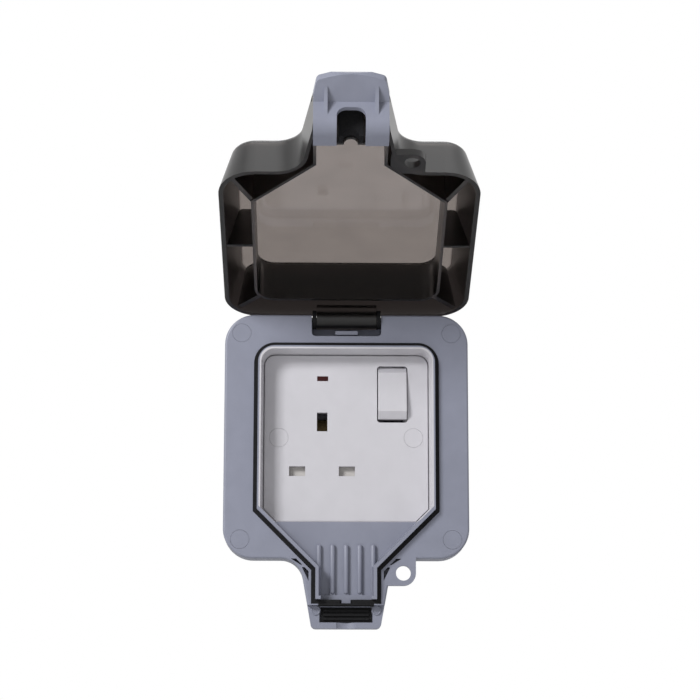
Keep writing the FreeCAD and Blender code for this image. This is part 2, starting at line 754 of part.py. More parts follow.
def add_sealing_wall(body):
    """The inner wall that presses on the seal, with a half-round cable notch at the neck's end."""
    sketch = sketch_on(body, "sealing_outline", RIM)
    outline(sketch, seal_outline("bead_gap", HINGE_UP))
    outline(sketch, seal_outline("(bead_gap + bead_wall)", HINGE_UP))
    pad(body, sketch, "sealing_wall", "lid_depth - lid_wall + bead_sink")
    sketch = sketch_on(body, "notch_outline", f"-lip_end - 3 * bead_wall - {HINGE_UP}", "XY_Plane")
    circle(sketch, "0", "-" + RIM, "bead_notch_radius")
    pocket(body, sketch, "cable_notch", "6 * bead_wall", backward=True)


def add_gussets(body):
    """Upright webs that tie the sealing wall to the skirt at both sides and at the four corners."""
    wall = "(lip_half_width + bead_gap + bead_wall / 2)"
    skirt = "(plate_half_width - lid_wall / 2)"
    sketch = sketch_on(body, "side_web_outline", f"-{HINGE_UP} - gusset_wall / 2", "XY_Plane")
    for side in ("", "-"):
        outline(sketch, [
            (side + wall, f"-{RIM} - gusset_drop"), (side + skirt, f"-{RIM} - gusset_drop"),
            (f"{side}({skirt} - {LID_LEAN} * gusset_share)", f"-{RIM} - lid_depth * gusset_share"),
            (side + wall, f"-{RIM} - lid_depth * gusset_share")])
    pad(body, sketch, "side_webs", "gusset_wall")
    spots = {
        "upper": ("(lip_half_width + bead_gap - corner_web_in)", "(lip_top + bead_gap - corner_web_in)", "1"),
        "lower": ("(lip_half_width + bead_gap + bead_wall / 2)", "(0 - lip_shoulder)", "-1"),
    }
    for name, (inner_x, inner_z, turn) in spots.items():
        for side, hand in (("", "right"), ("-", "left")):
            sections = []
            for level, share, lean in (("rim", "gusset_drop", "0"),
                                       ("front", "lid_depth * gusset_share", f"{LID_LEAN} * gusset_share")):
                reach = f"(lid_corner - (lid_corner - lid_wall / 2 - {lean}) * cos(45 deg))"
                outer_x = f"(plate_half_width - {reach})"
                outer_z = (f"(plate_half_height - {reach})" if turn == "1"
                           else f"({reach} - plate_half_height)")
                sketch = sketch_on(body, f"{name}_{hand}_web_{level}", f"{RIM} + {share}")
                slip = "gusset_wall / 2"
                sign = "-" if turn == "1" else "+"
                back = "+" if turn == "1" else "-"
                outline(sketch, [
                    (f"{side}({inner_x} - {slip})", f"{inner_z} {back} {slip} - {HINGE_UP}"),
                    (f"{side}({inner_x} + {slip})", f"{inner_z} {sign} {slip} - {HINGE_UP}"),
                    (f"{side}({outer_x} + {slip})", f"{outer_z} {sign} {slip} - {HINGE_UP}"),
                    (f"{side}({outer_x} - {slip})", f"{outer_z} {back} {slip} - {HINGE_UP}")])
                sections.append(sketch)
            loft(body, "Additive", f"{name}_{hand}_web", sections)


def add_lid_hinge(body):
    """The knuckle that turns on the hinge pin, and the bores for both pins."""
    sketch = sketch_on(body, "knuckle_outline", "0", "YZ_Plane")
    circle(sketch, "0", "0", "knuckle_radius")
    pad(body, sketch, "knuckle", "2 * knuckle_half_width", both=True)
    sketch = sketch_on(body, "knuckle_arm_outline", "0", "YZ_Plane")
    outline(sketch, box_corners(f"-{RIM} - lid_wall", "-knuckle_radius / 4", "-knuckle_radius",
                                "hinge_drop - lid_wall / 2"))
    pad(body, sketch, "knuckle_arm", "2 * knuckle_half_width", both=True)
    sketch = sketch_on(body, "hinge_bore_outline", "0", "YZ_Plane")
    circle(sketch, "0", "0", "pin_radius + pin_fit")
    pocket(body, sketch, "hinge_bore", "2 * pin_half_length", both=True)
    sketch = sketch_on(body, "latch_bore_outline", "0", "YZ_Plane")
    circle(sketch, f"-{RIM} - latch_pivot_lift", f"-latch_pivot_drop - {HINGE_UP}", "latch_pin_radius")
    pocket(body, sketch, "latch_bore", "2 * pin_half_length", both=True)


def turn_lid(body, across="0", out="0", up="0"):
    """Stands a piece of the lid at its rest, open about the hinge axis. out and up are in the shut lid."""
    turn = "(lid_open_angle * 1 deg)"
    body.Placement = Placement(Vector(), Rotation(Vector(1, 0, 0), -number("lid_open_angle")))
    body.setExpression("Placement.Rotation.Angle", formula("-lid_open_angle"))
    body.setExpression("Placement.Base.x", formula(across))
    body.setExpression("Placement.Base.y",
                       formula(f"-{HINGE_LIFT} - ({out}) * cos{turn} + ({up}) * sin{turn}"))
    body.setExpression("Placement.Base.z",
                       formula(f"{HINGE_UP} + ({out}) * sin{turn} + ({up}) * cos{turn}"))
    doc.recompute()


# Latch, modelled about its own pivot with the lid shut, and turned with the lid

LATCH_FACE = "(latch_face - latch_pivot_drop)"
FOOT = "(latch_pivot_lift + latch_foot_lift)"
TAB_SIN = "sin(latch_tab_angle * 1 deg)"
TAB_COS = "cos(latch_tab_angle * 1 deg)"


def make_latch():
    """The latch: two feet that curl under the lid's rim, an arch between them and a finger tab."""
    body = new_body("latch")
    crease = "(latch_pivot_lift - latch_crease)"
    low = f"(0 - {LATCH_FACE})"
    inner_low = f"(latch_wall - {LATCH_FACE})"
    foot_end = "(latch_pivot_drop - latch_foot_top)"
    tip_y = f"({crease} - latch_tab_length * {TAB_SIN})"
    tip_z = f"({low} - latch_tab_length * {TAB_COS})"
    inner_crease = f"({crease} - latch_wall * (1 - {TAB_SIN}) / {TAB_COS})"
    sketch = sketch_on(body, "latch_profile", "0", "YZ_Plane")
    outline(sketch, [
        (FOOT, foot_end), (f"({FOOT} - latch_wall)", foot_end),
        (f"({FOOT} - latch_wall)", inner_low, "latch_bend - latch_wall"), (inner_crease, inner_low),
        (f"({tip_y} - latch_wall * {TAB_COS})", f"({tip_z} + latch_wall * {TAB_SIN})"), (tip_y, tip_z),
        (crease, low), (FOOT, low, "latch_bend")])
    pad(body, sketch, "latch_strap", "2 * latch_half_width", both=True)

    sketch = sketch_on(body, "latch_arch_outline", f"{foot_end} + 1", "XY_Plane")
    outline(sketch, [("-latch_leg_inner", f"{FOOT} + 1"), ("latch_leg_inner", f"{FOOT} + 1"),
                     ("latch_leg_inner", "latch_arch_lift", "latch_arch_round"),
                     ("-latch_leg_inner", "latch_arch_lift", "latch_arch_round")])
    pocket(body, sketch, "latch_arch", f"{foot_end} + 2 - {low}")

    sketch = sketch_on(body, "latch_tip_outline", "latch_pivot_lift")
    edge, far = "(latch_half_width + 0.01)", "(2 * latch_half_width)"
    outline(sketch, box_corners("-" + far, far, f"{tip_z} - latch_wall", f"{foot_end} + 2"))
    side = [(edge, f"{foot_end} + 1"), (edge, f"{low} - latch_tab_round"),
            ("latch_half_width - latch_tab_taper", f"{tip_z} + latch_tip_sag", "latch_tab_round")]
    outline(sketch, side + [("0", f"{tip_z} - latch_tip_sag / 4", "3 * latch_half_width")]
            + [("-" + spot[0],) + spot[1:] for spot in reversed(side)])
    pocket(body, sketch, "latch_tip", f"latch_pivot_lift + {FOOT} + 1")

    sketch = sketch_on(body, "latch_knuckle_outline", "latch_leg_inner", "YZ_Plane")
    circle(sketch, "0", "0", "latch_knuckle_radius")
    knuckle = pad(body, sketch, "latch_knuckle", "latch_knuckle_reach - latch_leg_inner")
    sketch = sketch_on(body, "latch_arm_outline", "latch_leg_inner", "YZ_Plane")
    outline(sketch, [("-latch_arm_rise", "0"), ("latch_knuckle_radius - 0.05", "0"),
                     (f"{crease} + latch_wall / 2", f"{low} + latch_wall / 2"),
                     (f"{crease} - latch_wall", f"{low} - latch_wall / 2"),
                     ("-latch_arm_rise", "-latch_knuckle_radius")])
    arm = pad(body, sketch, "latch_arm", "latch_knuckle_reach - latch_leg_inner")
    sketch = sketch_on(body, "latch_fin_outline", "latch_fin_x - latch_fin_wall / 2", "YZ_Plane")
    outline(sketch, [(crease + " - latch_wall / 4", f"{low} + latch_wall / 4"),
                     (f"{FOOT} - latch_bend", f"{low} + latch_wall / 4"),
                     (f"{FOOT} - latch_bend", low),
                     (f"({crease} - latch_fin_reach * {TAB_SIN})", f"({low} - latch_fin_reach * {TAB_COS})")])
    fin = pad(body, sketch, "latch_fin", "latch_fin_wall")
    pair = body.newObject("PartDesign::Mirrored", "latch_sides")
    pair.Originals = [knuckle, arm, fin]
    pair.MirrorPlane = (next(item for item in body.Origin.OriginFeatures if item.Role == "YZ_Plane"), [""])
    body.Tip = pair
    doc.recompute()
    sketch = sketch_on(body, "latch_pivot_outline", "0", "YZ_Plane")
    circle(sketch, "0", "0", "latch_pin_radius + pin_fit")
    pocket(body, sketch, "latch_pivot", "2 * latch_half_width", both=True)
    turn_lid(body, out=f"{RIM} + latch_pivot_lift", up=f"(0 - latch_pivot_drop - {HINGE_UP})")
    return body


# Back box

BOX_HALF = "(plate_half_width - box_inset - box_wall)"
BOX_TALL = "(plate_half_height - box_inset - box_end_wall)"
POST_CUT = (f"({BOX_HALF} + {BOX_TALL} - {CORNER_X} - {CORNER_Z}"
            " + (corner_boss_radius + box_seal_width + box_seal_fit) * sqrt(2))")
BEARING_LOW = "(plate_half_height - notch_height - ledge_wall)"
BEARING_REAR = "(base_depth - notch_depth - ledge_wall)"
STEP_HALF = "(pin_half_length + bearing_wall + box_gap + box_wall)"
STEP_LOW = f"({BEARING_LOW} - box_gap - box_wall)"
NECK_ROOM = f"(lip_half_width + lip_shoulder + well_wall - {BOX_TALL} + box_gap)"
NECK_RIM = f"({SKIRT_REAR} - box_seal_thick)"


def rim_path(offset):
    """The inner edge of the box's rim, moved outwards: cut corners, and a step round the hinge bearing."""
    half, tall = f"({BOX_HALF} + {offset})", f"({BOX_TALL} + {offset})"
    cut = f"({POST_CUT} + {offset} * (2 - sqrt(2)))"
    side = f"({STEP_HALF} - {offset})"
    return mirror([(side, f"{STEP_LOW} + {offset}"), (side, tall), (f"({half} - {cut})", tall),
                   (half, f"({tall} - {cut})"), (half, f"{cut} - {tall}"), (f"({half} - {cut})", f"-{tall}")])


def make_back_box():
    """The wall box: drafted outside, solid corners for the screws, a hollow middle and two cable entries."""
    body = new_body("back_box")
    half, tall = "(plate_half_width - box_inset)", "(plate_half_height - box_inset)"
    sketch = sketch_on(body, "box_outline", BOX_RIM)
    outline(sketch, mirror([(half, tall, "box_corner"), (half, "-" + tall, "box_corner")]))
    pad(body, sketch, "box_block", BOX_RIM, backward=True, taper="-box_draft")
    sketch = sketch_on(body, "box_hollow_outline", BOX_RIM)
    outline(sketch, octagon(BOX_HALF, BOX_TALL, POST_CUT))
    pocket(body, sketch, "box_hollow", f"{BOX_RIM} - box_wall")
    sketch = sketch_on(body, "hinge_shelf_outline", f"{BEARING_REAR} - box_gap - box_wall")
    outline(sketch, box_corners("-" + STEP_HALF, STEP_HALF, STEP_LOW, f"{BOX_TALL} + box_wall / 2"))
    pad(body, sketch, "hinge_shelf", f"{BOX_RIM} - {BEARING_REAR} + box_gap + box_wall")
    sketch = sketch_on(body, "hinge_room_outline", BOX_RIM)
    outline(sketch, box_corners(f"box_wall - {STEP_HALF}", f"{STEP_HALF} - box_wall",
                                f"{STEP_LOW} + box_wall", "plate_half_height"))
    pocket(body, sketch, "hinge_room", f"{BOX_RIM} - {BEARING_REAR} + box_gap")
    sketch = sketch_on(body, "neck_room_outline", BOX_RIM)
    reach = f"({NECK_ROOM} + box_seal_width)"
    outline(sketch, box_corners("-" + reach, reach, "-plate_half_height", f"box_wall - {BOX_TALL}"))
    pocket(body, sketch, "neck_room", f"{BOX_RIM} - {NECK_RIM}")
    for name, lift, spot_x, spot_z, radius, depth in (
        ("wall_holes", "box_wall", "wall_hole_spread", "wall_hole_spread", "wall_hole_radius", "2 * box_wall"),
        ("post_holes", BOX_RIM, CORNER_X, CORNER_Z, "screw_radius + thread_fit", "screw_length"),
    ):
        sketch = sketch_on(body, f"{name}_outline", lift)
        four_circles(sketch, spot_x, spot_z, radius)
        pocket(body, sketch, name, depth)
    sketch = sketch_on(body, "conduit_outline", "0", "XY_Plane")
    circle(sketch, "0", "-conduit_lift", "conduit_radius")
    pocket(body, sketch, "conduit_entries", "3 * plate_half_height", both=True)
    return body


def make_frame_gasket():
    """The gasket on the box's rim, which steps down under the frame's cable neck."""
    body = make_ring("frame_gasket", BOX_RIM, "box_seal_thick", rim_path("0"), rim_path("box_seal_width"))
    low, high = f"(0 - {BOX_TALL} - box_seal_width)", f"(0 - {BOX_TALL})"
    reach = f"({NECK_ROOM} + box_seal_width)"
    sketch = sketch_on(body, "gasket_step_outline", NECK_RIM)
    outline(sketch, box_corners("-" + reach, reach, low, high))
    pad(body, sketch, "gasket_step", f"{BOX_RIM} + box_seal_thick - {NECK_RIM}")
    sketch = sketch_on(body, "gasket_gap_outline", BOX_RIM + " + box_seal_thick")
    outline(sketch, box_corners("-" + NECK_ROOM, NECK_ROOM, f"{low} - 1", f"{high} + 1"))
    pocket(body, sketch, "gasket_gap", f"{BOX_RIM} + box_seal_thick - {SKIRT_REAR}")
    return body


def make_conduit_plug():
    """The slotted plug that closes the upper cable entry."""
    body = new_body("conduit_plug")
    face = "(plate_half_height - box_inset - box_gap)"
    for name, low, radius, length in (
        ("stem", f"({BOX_TALL} + box_gap)", "(conduit_radius - pin_fit)", f"({face} - {BOX_TALL} - box_gap)"),
        ("flange", face, "(conduit_radius + plug_flange)", "plug_head"),
    ):
        sketch = sketch_on(body, f"plug_{name}_outline", low, "XY_Plane")
        circle(sketch, "0", "-conduit_lift", radius)
        pad(body, sketch, f"plug_{name}", length)
    sketch = sketch_on(body, "plug_slot_outline", f"{face} + plug_head", "XY_Plane")
    outline(sketch, box_corners("-conduit_radius / 2", "conduit_radius / 2",
                                "-conduit_lift - plug_slot / 2", "plug_slot / 2 - conduit_lift"))
    pocket(body, sketch, "plug_slot", "plug_head")
    return body


def four_circles(sketch, across, up, radius):
    """Four equal circles at the corners of a rectangle about the middle."""
    for side in ("", "-"):
        for height in ("", "-"):
            circle(sketch, side + across, height + up, radius)


def make_screws(label, spots, head_rear, head, shank, length):
    """Equal screws with plain heads; spots draws one set of circles of a given radius."""
    body = new_body(label)
    for name, lift, radius, run in (
        ("shanks", f"({head_rear} - {length})", shank[0], f"({length} + {head[1]} / 2)"),
        ("heads", head_rear, head[0], head[1]),
    ):
        sketch = sketch_on(body, f"{label}_{name}_outline", lift)
        spots(sketch, radius)
        pad(body, sketch, f"{label}_{name}", run)
    return body


def corner_spots(sketch, radius):
    four_circles(sketch, CORNER_X, CORNER_Z, radius)


def module_spots(sketch, radius):
    circle(sketch, "-module_screw_x", "0", radius)
    circle(sketch, "module_screw_x", "0", radius)


def terminal_spots(sketch, radius):
    for across, up in SLOTS.values():
        circle(sketch, across, f"-{TERMINAL_LOW} + terminal_length / 2", radius)


def make_caps(label, spots, lift, radius, thickness):
    """Thin round caps that close the screw seats."""
    body = new_body(label)
    sketch = sketch_on(body, f"{label}_outline", f"{lift} - {thickness}")
    spots(sketch, radius)
    pad(body, sketch, f"{label}_discs", thickness)
    return body


# Seals and pads

def make_ring(label, lift, depth, inner, outer):
    """A flat seal between two outlines."""
    body = new_body(label)
    sketch = sketch_on(body, f"{label}_outline", lift)
    outline(sketch, inner)
    outline(sketch, outer)
    pad(body, sketch, f"{label}_ring", depth)
    return body


def make_lid_seal():
    """The seal round the lip's foot, with a saddle for the cable where it crosses the neck."""
    body = make_ring("lid_seal", PLATE_FRONT + " - seal_depth", "seal_depth",
                     seal_outline("seal_fit"), seal_outline("seal_width"))
    sketch = sketch_on(body, "saddle_outline", "-lip_end - 3 * seal_width", "XY_Plane")
    circle(sketch, "0", "-base_depth - lid_gap", "bead_notch_radius")
    pocket(body, sketch, "cable_saddle", "4 * seal_width", backward=True)
    return body


def make_cable_seal():
    """The soft pad under the cable, with level ridges, in the pocket at the neck's end."""
    body = new_body("cable_seal")
    half = "(stud_x - stud_radius - pad_fit)"
    floor = "(base_depth - land_drop - pad_depth)"
    sketch = sketch_on(body, "cable_seal_outline", floor)
    outline(sketch, box_corners("-" + half, half, "pad_fit - pad_low", "-pad_high - pad_fit"))
    pad(body, sketch, "cable_seal_block", "pad_depth - ridge_rise")
    sketch = sketch_on(body, "ridge_outline", f"{floor} + pad_depth - ridge_rise")
    low, pitch = "(pad_fit - pad_low)", "((pad_low - pad_high - 2 * pad_fit) / 7)"
    for step in (1, 3, 5):
        outline(sketch, box_corners(f"-({half} - ridge_rise)", f"({half} - ridge_rise)",
                                    f"{low} + {step} * {pitch}", f"{low} + {step + 1} * {pitch}"))
    pad(body, sketch, "ridges", "ridge_rise")
    return body


def make_lid_cable_seal():
    """The soft pad in the lid that presses on the cable from in front."""
    body = new_body("lid_cable_seal")
    high = f"(-lip_end - bead_gap - bead_wall - {HINGE_UP})"
    sketch = sketch_on(body, "lid_pad_outline", RIM)
    outline(sketch, box_corners("-lid_pad_half", "lid_pad_half", f"{high} - lid_pad_length", high))
    pad(body, sketch, "lid_pad_block", "lid_depth - lid_wall")
    sketch = sketch_on(body, "lid_pad_notch_outline", f"{high} + 1", "XY_Plane")
    circle(sketch, "0", "-" + RIM, "lid_pad_notch")
    pocket(body, sketch, "lid_pad_notch_cut", "2 * lid_pad_length")
    turn_lid(body)
    return body


# Pins

def make_rod(label, radius, half_length):
    """A plain round pin along X."""
    body = new_body(label)
    sketch = sketch_on(body, f"{label}_outline", "0", "YZ_Plane")
    circle(sketch, "0", "0", radius)
    pad(body, sketch, f"{label}_rod", f"2 * {half_length}", both=True)
    return body


def place(body, across, lift, up, turn=None):
    """Puts a piece at its spot, turned about X where an angle is given."""
    if turn:
        body.Placement = Placement(Vector(), Rotation(Vector(1, 0, 0), number(turn)))
        body.setExpression("Placement.Rotation.Angle", formula(turn))
    body.setExpression("Placement.Base.x", formula(across))
    body.setExpression("Placement.Base.y", formula(f"0 - {lift}"))
    body.setExpression("Placement.Base.z", formula(up))
    doc.recompute()
    return body


def make_pins():
    """The hinge pin, held in the frame, and the latch pin, held in the lid."""
    hinge = make_rod("hinge_pin", "pin_radius", "pin_half_length")
    place(hinge, "0", HINGE_LIFT, HINGE_UP)
    latch = make_rod("latch_pin", "latch_pin_radius", "latch_pin_half")
    turn_lid(latch, out=f"{RIM} + latch_pivot_lift", up=f"(0 - latch_pivot_drop - {HINGE_UP})")
    return [hinge, latch]


# Socket plate and what lies behind it

SLOTS = {
    "live": ("(socket_x - pin_pitch)", "(0 - socket_z)"),
    "neutral": ("socket_x", "(0 - socket_z)"),
    "earth": ("(socket_x - pin_pitch / 2)", "(pin_pitch - socket_z)"),
}
HOUSING_FLOOR = f"({MODULE_REAR} - housing_depth + housing_wall)"
TERMINAL_LOW = "(housing_low - housing_wall - housing_play)"
ROCKER_PIVOT = f"({MODULE_FACE} - rocker_pivot_drop)"


def make_socket_plate():
    """The white plate with its three slots, the rocker's opening, the lamp's window and screw seats."""
    body = new_body("socket_plate")
    sketch = sketch_on(body, "module_plate_outline", MODULE_REAR)
    outline(sketch, module_outline("module_gap"))
    pad(body, sketch, "module_plate", "module_thick")
    dress(body, "Fillet", "module_edge_round", "module_round", at_lift(MODULE_FACE))
    sketch = sketch_on(body, "opening_outline", MODULE_FACE)
    for name, (across, up) in SLOTS.items():
        wide, tall = ("earth_wide", "earth_tall") if name == "earth" else ("slot_wide", "slot_tall")
        outline(sketch, box_corners(f"{across} - {wide} / 2", f"{across} + {wide} / 2",
                                    f"{up} - {tall} / 2", f"{up} + {tall} / 2"))
    outline(sketch, box_corners("rocker_x - rocker_half_width - rocker_gap",
                                "rocker_x + rocker_half_width + rocker_gap",
                                "rocker_z - rocker_half_height - rocker_gap",
                                "rocker_z + rocker_half_height + rocker_gap", "rocker_round"))
    outline(sketch, box_corners("-neon_x - neon_wide / 2", "neon_wide / 2 - neon_x",
                                "neon_z - neon_tall / 2", "neon_z + neon_tall / 2"))
    pocket(body, sketch, "openings", "module_thick")
    for name, lift, radius, depth in (
        ("module_cap_seats", MODULE_FACE, "module_cap_radius + cap_fit", "module_cap_thick"),
        ("module_head_seats", MODULE_FACE + " - module_cap_thick", "module_head_radius + cap_fit",
         "module_head_thick"),
        ("module_screw_ways", MODULE_FACE, "module_screw_radius + screw_play", "module_thick"),
    ):
        sketch = sketch_on(body, f"{name}_outline", lift)
        module_spots(sketch, radius)
        pocket(body, sketch, name, depth)
    return body


def make_housing():
    """The open-fronted housing behind the plate: rocker bearings, barriers between the poles, wire ways."""
    body = new_body("socket_housing")
    rear = f"{MODULE_REAR} - housing_depth"
    sketch = sketch_on(body, "housing_outline", rear)
    outline(sketch, box_corners("-housing_half_width", "housing_half_width", "-housing_low", "housing_high",
                                "housing_round"))
    pad(body, sketch, "housing_block", "housing_depth")
    sketch = sketch_on(body, "housing_hollow_outline", MODULE_REAR)
    outline(sketch, box_corners("housing_wall - housing_half_width", "housing_half_width - housing_wall",
                                "housing_wall - housing_low", "housing_high - housing_wall"))
    pocket(body, sketch, "housing_hollow", "housing_depth - housing_wall")
    sketch = sketch_on(body, "rocker_room_outline", MODULE_REAR)
    outline(sketch, box_corners("rocker_x", "housing_half_width + 1",
                                "rocker_z - rocker_half_height - rocker_gap",
                                "rocker_z + rocker_half_height + rocker_gap"))
    pocket(body, sketch, "rocker_room", "rocker_room_depth")
    sketch = sketch_on(body, "bearing_post_outline", f"{rear} + housing_wall / 2")
    for near, far in (("(rocker_x - trunnion_reach - post_wall)", "(rocker_x - stem_half - rocker_gap)"),
                      ("(rocker_x + stem_half + rocker_gap)", "(housing_half_width - housing_wall / 2)")):
        outline(sketch, box_corners(near, far, "rocker_z - post_half", "rocker_z + post_half"))
    pad(body, sketch, "bearing_posts", "housing_depth - housing_wall / 2 - post_drop")
    sketch = sketch_on(body, "barrier_outline", f"{rear} + housing_wall / 2")
    for middle in ("(socket_x - pin_pitch / 4)", "(socket_x - pin_pitch * 3 / 4)"):
        outline(sketch, box_corners(f"{middle} - barrier_wall / 2", f"{middle} + barrier_wall / 2",
                                    "housing_wall / 2 - housing_low", "-barrier_top"))
    pad(body, sketch, "barriers", "housing_depth - housing_wall / 2 - 2 * shutter_gap - shutter_thick")
    sketch = sketch_on(body, "bearing_bore_outline", "rocker_x - trunnion_reach - housing_play", "YZ_Plane")
    circle(sketch, "-" + ROCKER_PIVOT, "rocker_z", "trunnion_radius + pin_fit")
    pocket(body, sketch, "bearing_bores", "2 * (trunnion_reach + housing_play)", backward=True)
    sketch = sketch_on(body, "wire_way_outline", "-housing_low - 1", "XY_Plane")
    for across, _ in SLOTS.values():
        circle(sketch, across, f"-{MODULE_REAR} + terminal_depth", "wire_radius")
    pocket(body, sketch, "wire_ways", "housing_wall + 2", backward=True)
    return body


def make_rocker():
    """The rocker: a flat face with a bevel at each end, trunnions, and a stem that tilts the switch blade."""
    body = new_body("rocker")
    end = "(rocker_half_height - rocker_gap)"
    ridge = f"({end} - rocker_bevel)"
    sketch = sketch_on(body, "rocker_profile", "0", "YZ_Plane")
    outline(sketch, [("-rocker_back", "-" + end), ("-rocker_edge", "-" + end), ("-rocker_front", "-" + ridge),
                     ("-rocker_front", ridge), ("-rocker_edge", end), ("-rocker_back", end)])
    pad(body, sketch, "rocker_cap", "2 * rocker_half_width", both=True)
    sketch = sketch_on(body, "stem_profile", "0", "YZ_Plane")
    outline(sketch, [("-rocker_back - 0.5", "-stem_thick / 2"),
                     ("stem_reach", "-stem_thick / 2", "stem_thick * 0.45"),
                     ("stem_reach", "stem_thick / 2", "stem_thick * 0.45"),
                     ("-rocker_back - 0.5", "stem_thick / 2")])
    pad(body, sketch, "rocker_stem", "2 * stem_half", both=True)
    sketch = sketch_on(body, "trunnion_outline", "0", "YZ_Plane")
    circle(sketch, "0", "0", "trunnion_radius")
    pad(body, sketch, "trunnions", "2 * trunnion_reach", both=True)
    return place(body, "rocker_x", ROCKER_PIVOT, "rocker_z", "-rocker_swing / 2")


def make_switch():
    """The rocking blade under the stem, the cradle it rocks on and the contact it meets."""
    blade = new_body("switch_blade")
    sketch = sketch_on(blade, "blade_profile", "0", "YZ_Plane")
    outline(sketch, box_corners("-blade_thick / 2", "blade_thick / 2", "-blade_half", "blade_half"))
    pad(blade, sketch, "blade_strip", "strip_wide", both=True)
    blade_lift = f"({ROCKER_PIVOT} - stem_reach - blade_gap - blade_thick / 2)"
    place(blade, "rocker_x", blade_lift, "rocker_z", "blade_swing / 2")
    made = [blade]
    post_top = f"({blade_lift} - blade_thick / 2 - blade_gap / 2)"
    contact_top = f"({post_top} - blade_half * sin(blade_swing / 2 * 1 deg) - blade_gap / 2)"
    for label, low, high, post, top in (
        ("switch_cradle", "(0 - blade_half)", "(blade_half / 2 - strip_wall)", "0", post_top),
        ("switch_contact", "(blade_half / 2)", "(blade_half + strip_wall)", "(blade_half - strip_wall)", contact_top),
    ):
        body = new_body(label)
        sketch = sketch_on(body, f"{label}_profile", "rocker_x", "YZ_Plane")
        floor, shelf = f"-{HOUSING_FLOOR}", f"-{HOUSING_FLOOR} - strip_wall"
        outline(sketch, [
            (floor, f"rocker_z + {low}"), (shelf, f"rocker_z + {low}"),
            (shelf, f"rocker_z + {post} - strip_wall"), ("-" + top, f"rocker_z + {post} - strip_wall"),
            ("-" + top, f"rocker_z + {post} + strip_wall"), (shelf, f"rocker_z + {post} + strip_wall"),
            (shelf, f"rocker_z + {high}"), (floor, f"rocker_z + {high}")])
        pad(body, sketch, f"{label}_strip", "strip_wide", both=True)
        made.append(body)
    return made


def make_contact(name):
    """A sprung clip that grips one pin, on a strip that runs down to its terminal."""
    body = new_body(f"{name}_contact")
    across, up = SLOTS[name]
    floor = HOUSING_FLOOR
    sketch = sketch_on(body, f"{name}_strip_outline", floor)
    outline(sketch, box_corners(f"{across} - strip_wide / 2", f"{across} + strip_wide / 2",
                                "-" + TERMINAL_LOW, f"{up} + clip_half"))
    pad(body, sketch, f"{name}_strip", "strip_wall")
    upright = name == "earth"
    plane, place_of, centre = ("XY_Plane", up, across) if upright else ("YZ_Plane", across, up)
    for side in ("-", "+"):
        sketch = sketch_on(body, f"{name}_{'near' if side == '-' else 'far'}_leaf", place_of, plane)
        inner, outer = f"{centre} {side} pin_half", f"{centre} {side} (pin_half + strip_wall)"
        depths = (f"-{floor} - strip_wall / 2", f"-{floor} - clip_rise")
        corners = [(depths[0], inner), (depths[1], inner), (depths[1], outer), (depths[0], outer)]
        outline(sketch, [(b, a) for a, b in corners] if upright else corners)
        pad(body, sketch, f"{name}_{'near' if side == '-' else 'far'}_clip", "strip_wide", both=True)
    return body


def make_terminal(name):
    """A brass block with a bore for the wire and a threaded hole for its screw."""
    body = new_body(f"{name}_terminal")
    across = SLOTS[name][0]
    rear = f"({HOUSING_FLOOR} + strip_wall)"
    sketch = sketch_on(body, f"{name}_block_outline", rear)
    outline(sketch, box_corners(f"{across} - terminal_half", f"{across} + terminal_half",
                                "-" + TERMINAL_LOW, f"-{TERMINAL_LOW} + terminal_length"))
    pad(body, sketch, f"{name}_block", "terminal_rise")
    sketch = sketch_on(body, f"{name}_wire_outline", f"-{TERMINAL_LOW} - 1", "XY_Plane")
    circle(sketch, across, f"-{MODULE_REAR} + terminal_depth", "wire_radius")
    pocket(body, sketch, f"{name}_wire_bore", "terminal_length + 2", backward=True)
    sketch = sketch_on(body, f"{name}_screw_outline", f"{rear} + terminal_rise")
    circle(sketch, across, f"-{TERMINAL_LOW} + terminal_length / 2", "terminal_screw + thread_fit")
    pocket(body, sketch, f"{name}_screw_hole", "terminal_rise / 2")
    return body


def make_shutter():
    """The sliding shutter behind the two lower slots, and the spring that lifts it."""
    shutter = new_body("shutter")
    rear = f"({MODULE_REAR} - shutter_gap - shutter_thick)"
    low, high = "(-socket_z - slot_tall / 2 - shutter_lap)", "(slot_tall / 2 - socket_z + shutter_lap)"
    sketch = sketch_on(shutter, "shutter_outline", rear)
    outline(sketch, box_corners("socket_x - pin_pitch - slot_wide / 2 + -shutter_lap / 2",
                                "socket_x + slot_wide / 2 + shutter_lap", low, high))
    pad(shutter, sketch, "shutter_plate", "shutter_thick")
    spring = new_body("shutter_spring")
    sketch = sketch_on(spring, "spring_outline", "housing_wall - housing_low", "XY_Plane")
    circle(sketch, "socket_x - pin_pitch / 2", f"-{rear} - shutter_thick / 2", "spring_radius")
    pad(spring, sketch, "spring_coil", f"{low} - housing_wall + housing_low")
    return [shutter, spring]


def make_neon():
    """The red lens in the plate's window and the lamp behind it."""
    lens = new_body("neon_lens")
    rear = f"({MODULE_REAR} - lens_tail)"
    sketch = sketch_on(lens, "lens_outline", rear)
    outline(sketch, box_corners("pin_fit - neon_x - neon_wide / 2", "neon_wide / 2 - neon_x - pin_fit",
                                "neon_z - neon_tall / 2 + pin_fit", "neon_z + neon_tall / 2 - pin_fit"))
    pad(lens, sketch, "lens_block", "module_thick + lens_tail - cap_fit")
    lamp = new_body("neon_lamp")
    sketch = sketch_on(lamp, "lamp_outline", f"{rear} - cap_fit - lamp_length")
    circle(sketch, "-neon_x", "neon_z", "lamp_radius")
    pad(lamp, sketch, "lamp_tube", "lamp_length")
    return [lens, lamp]


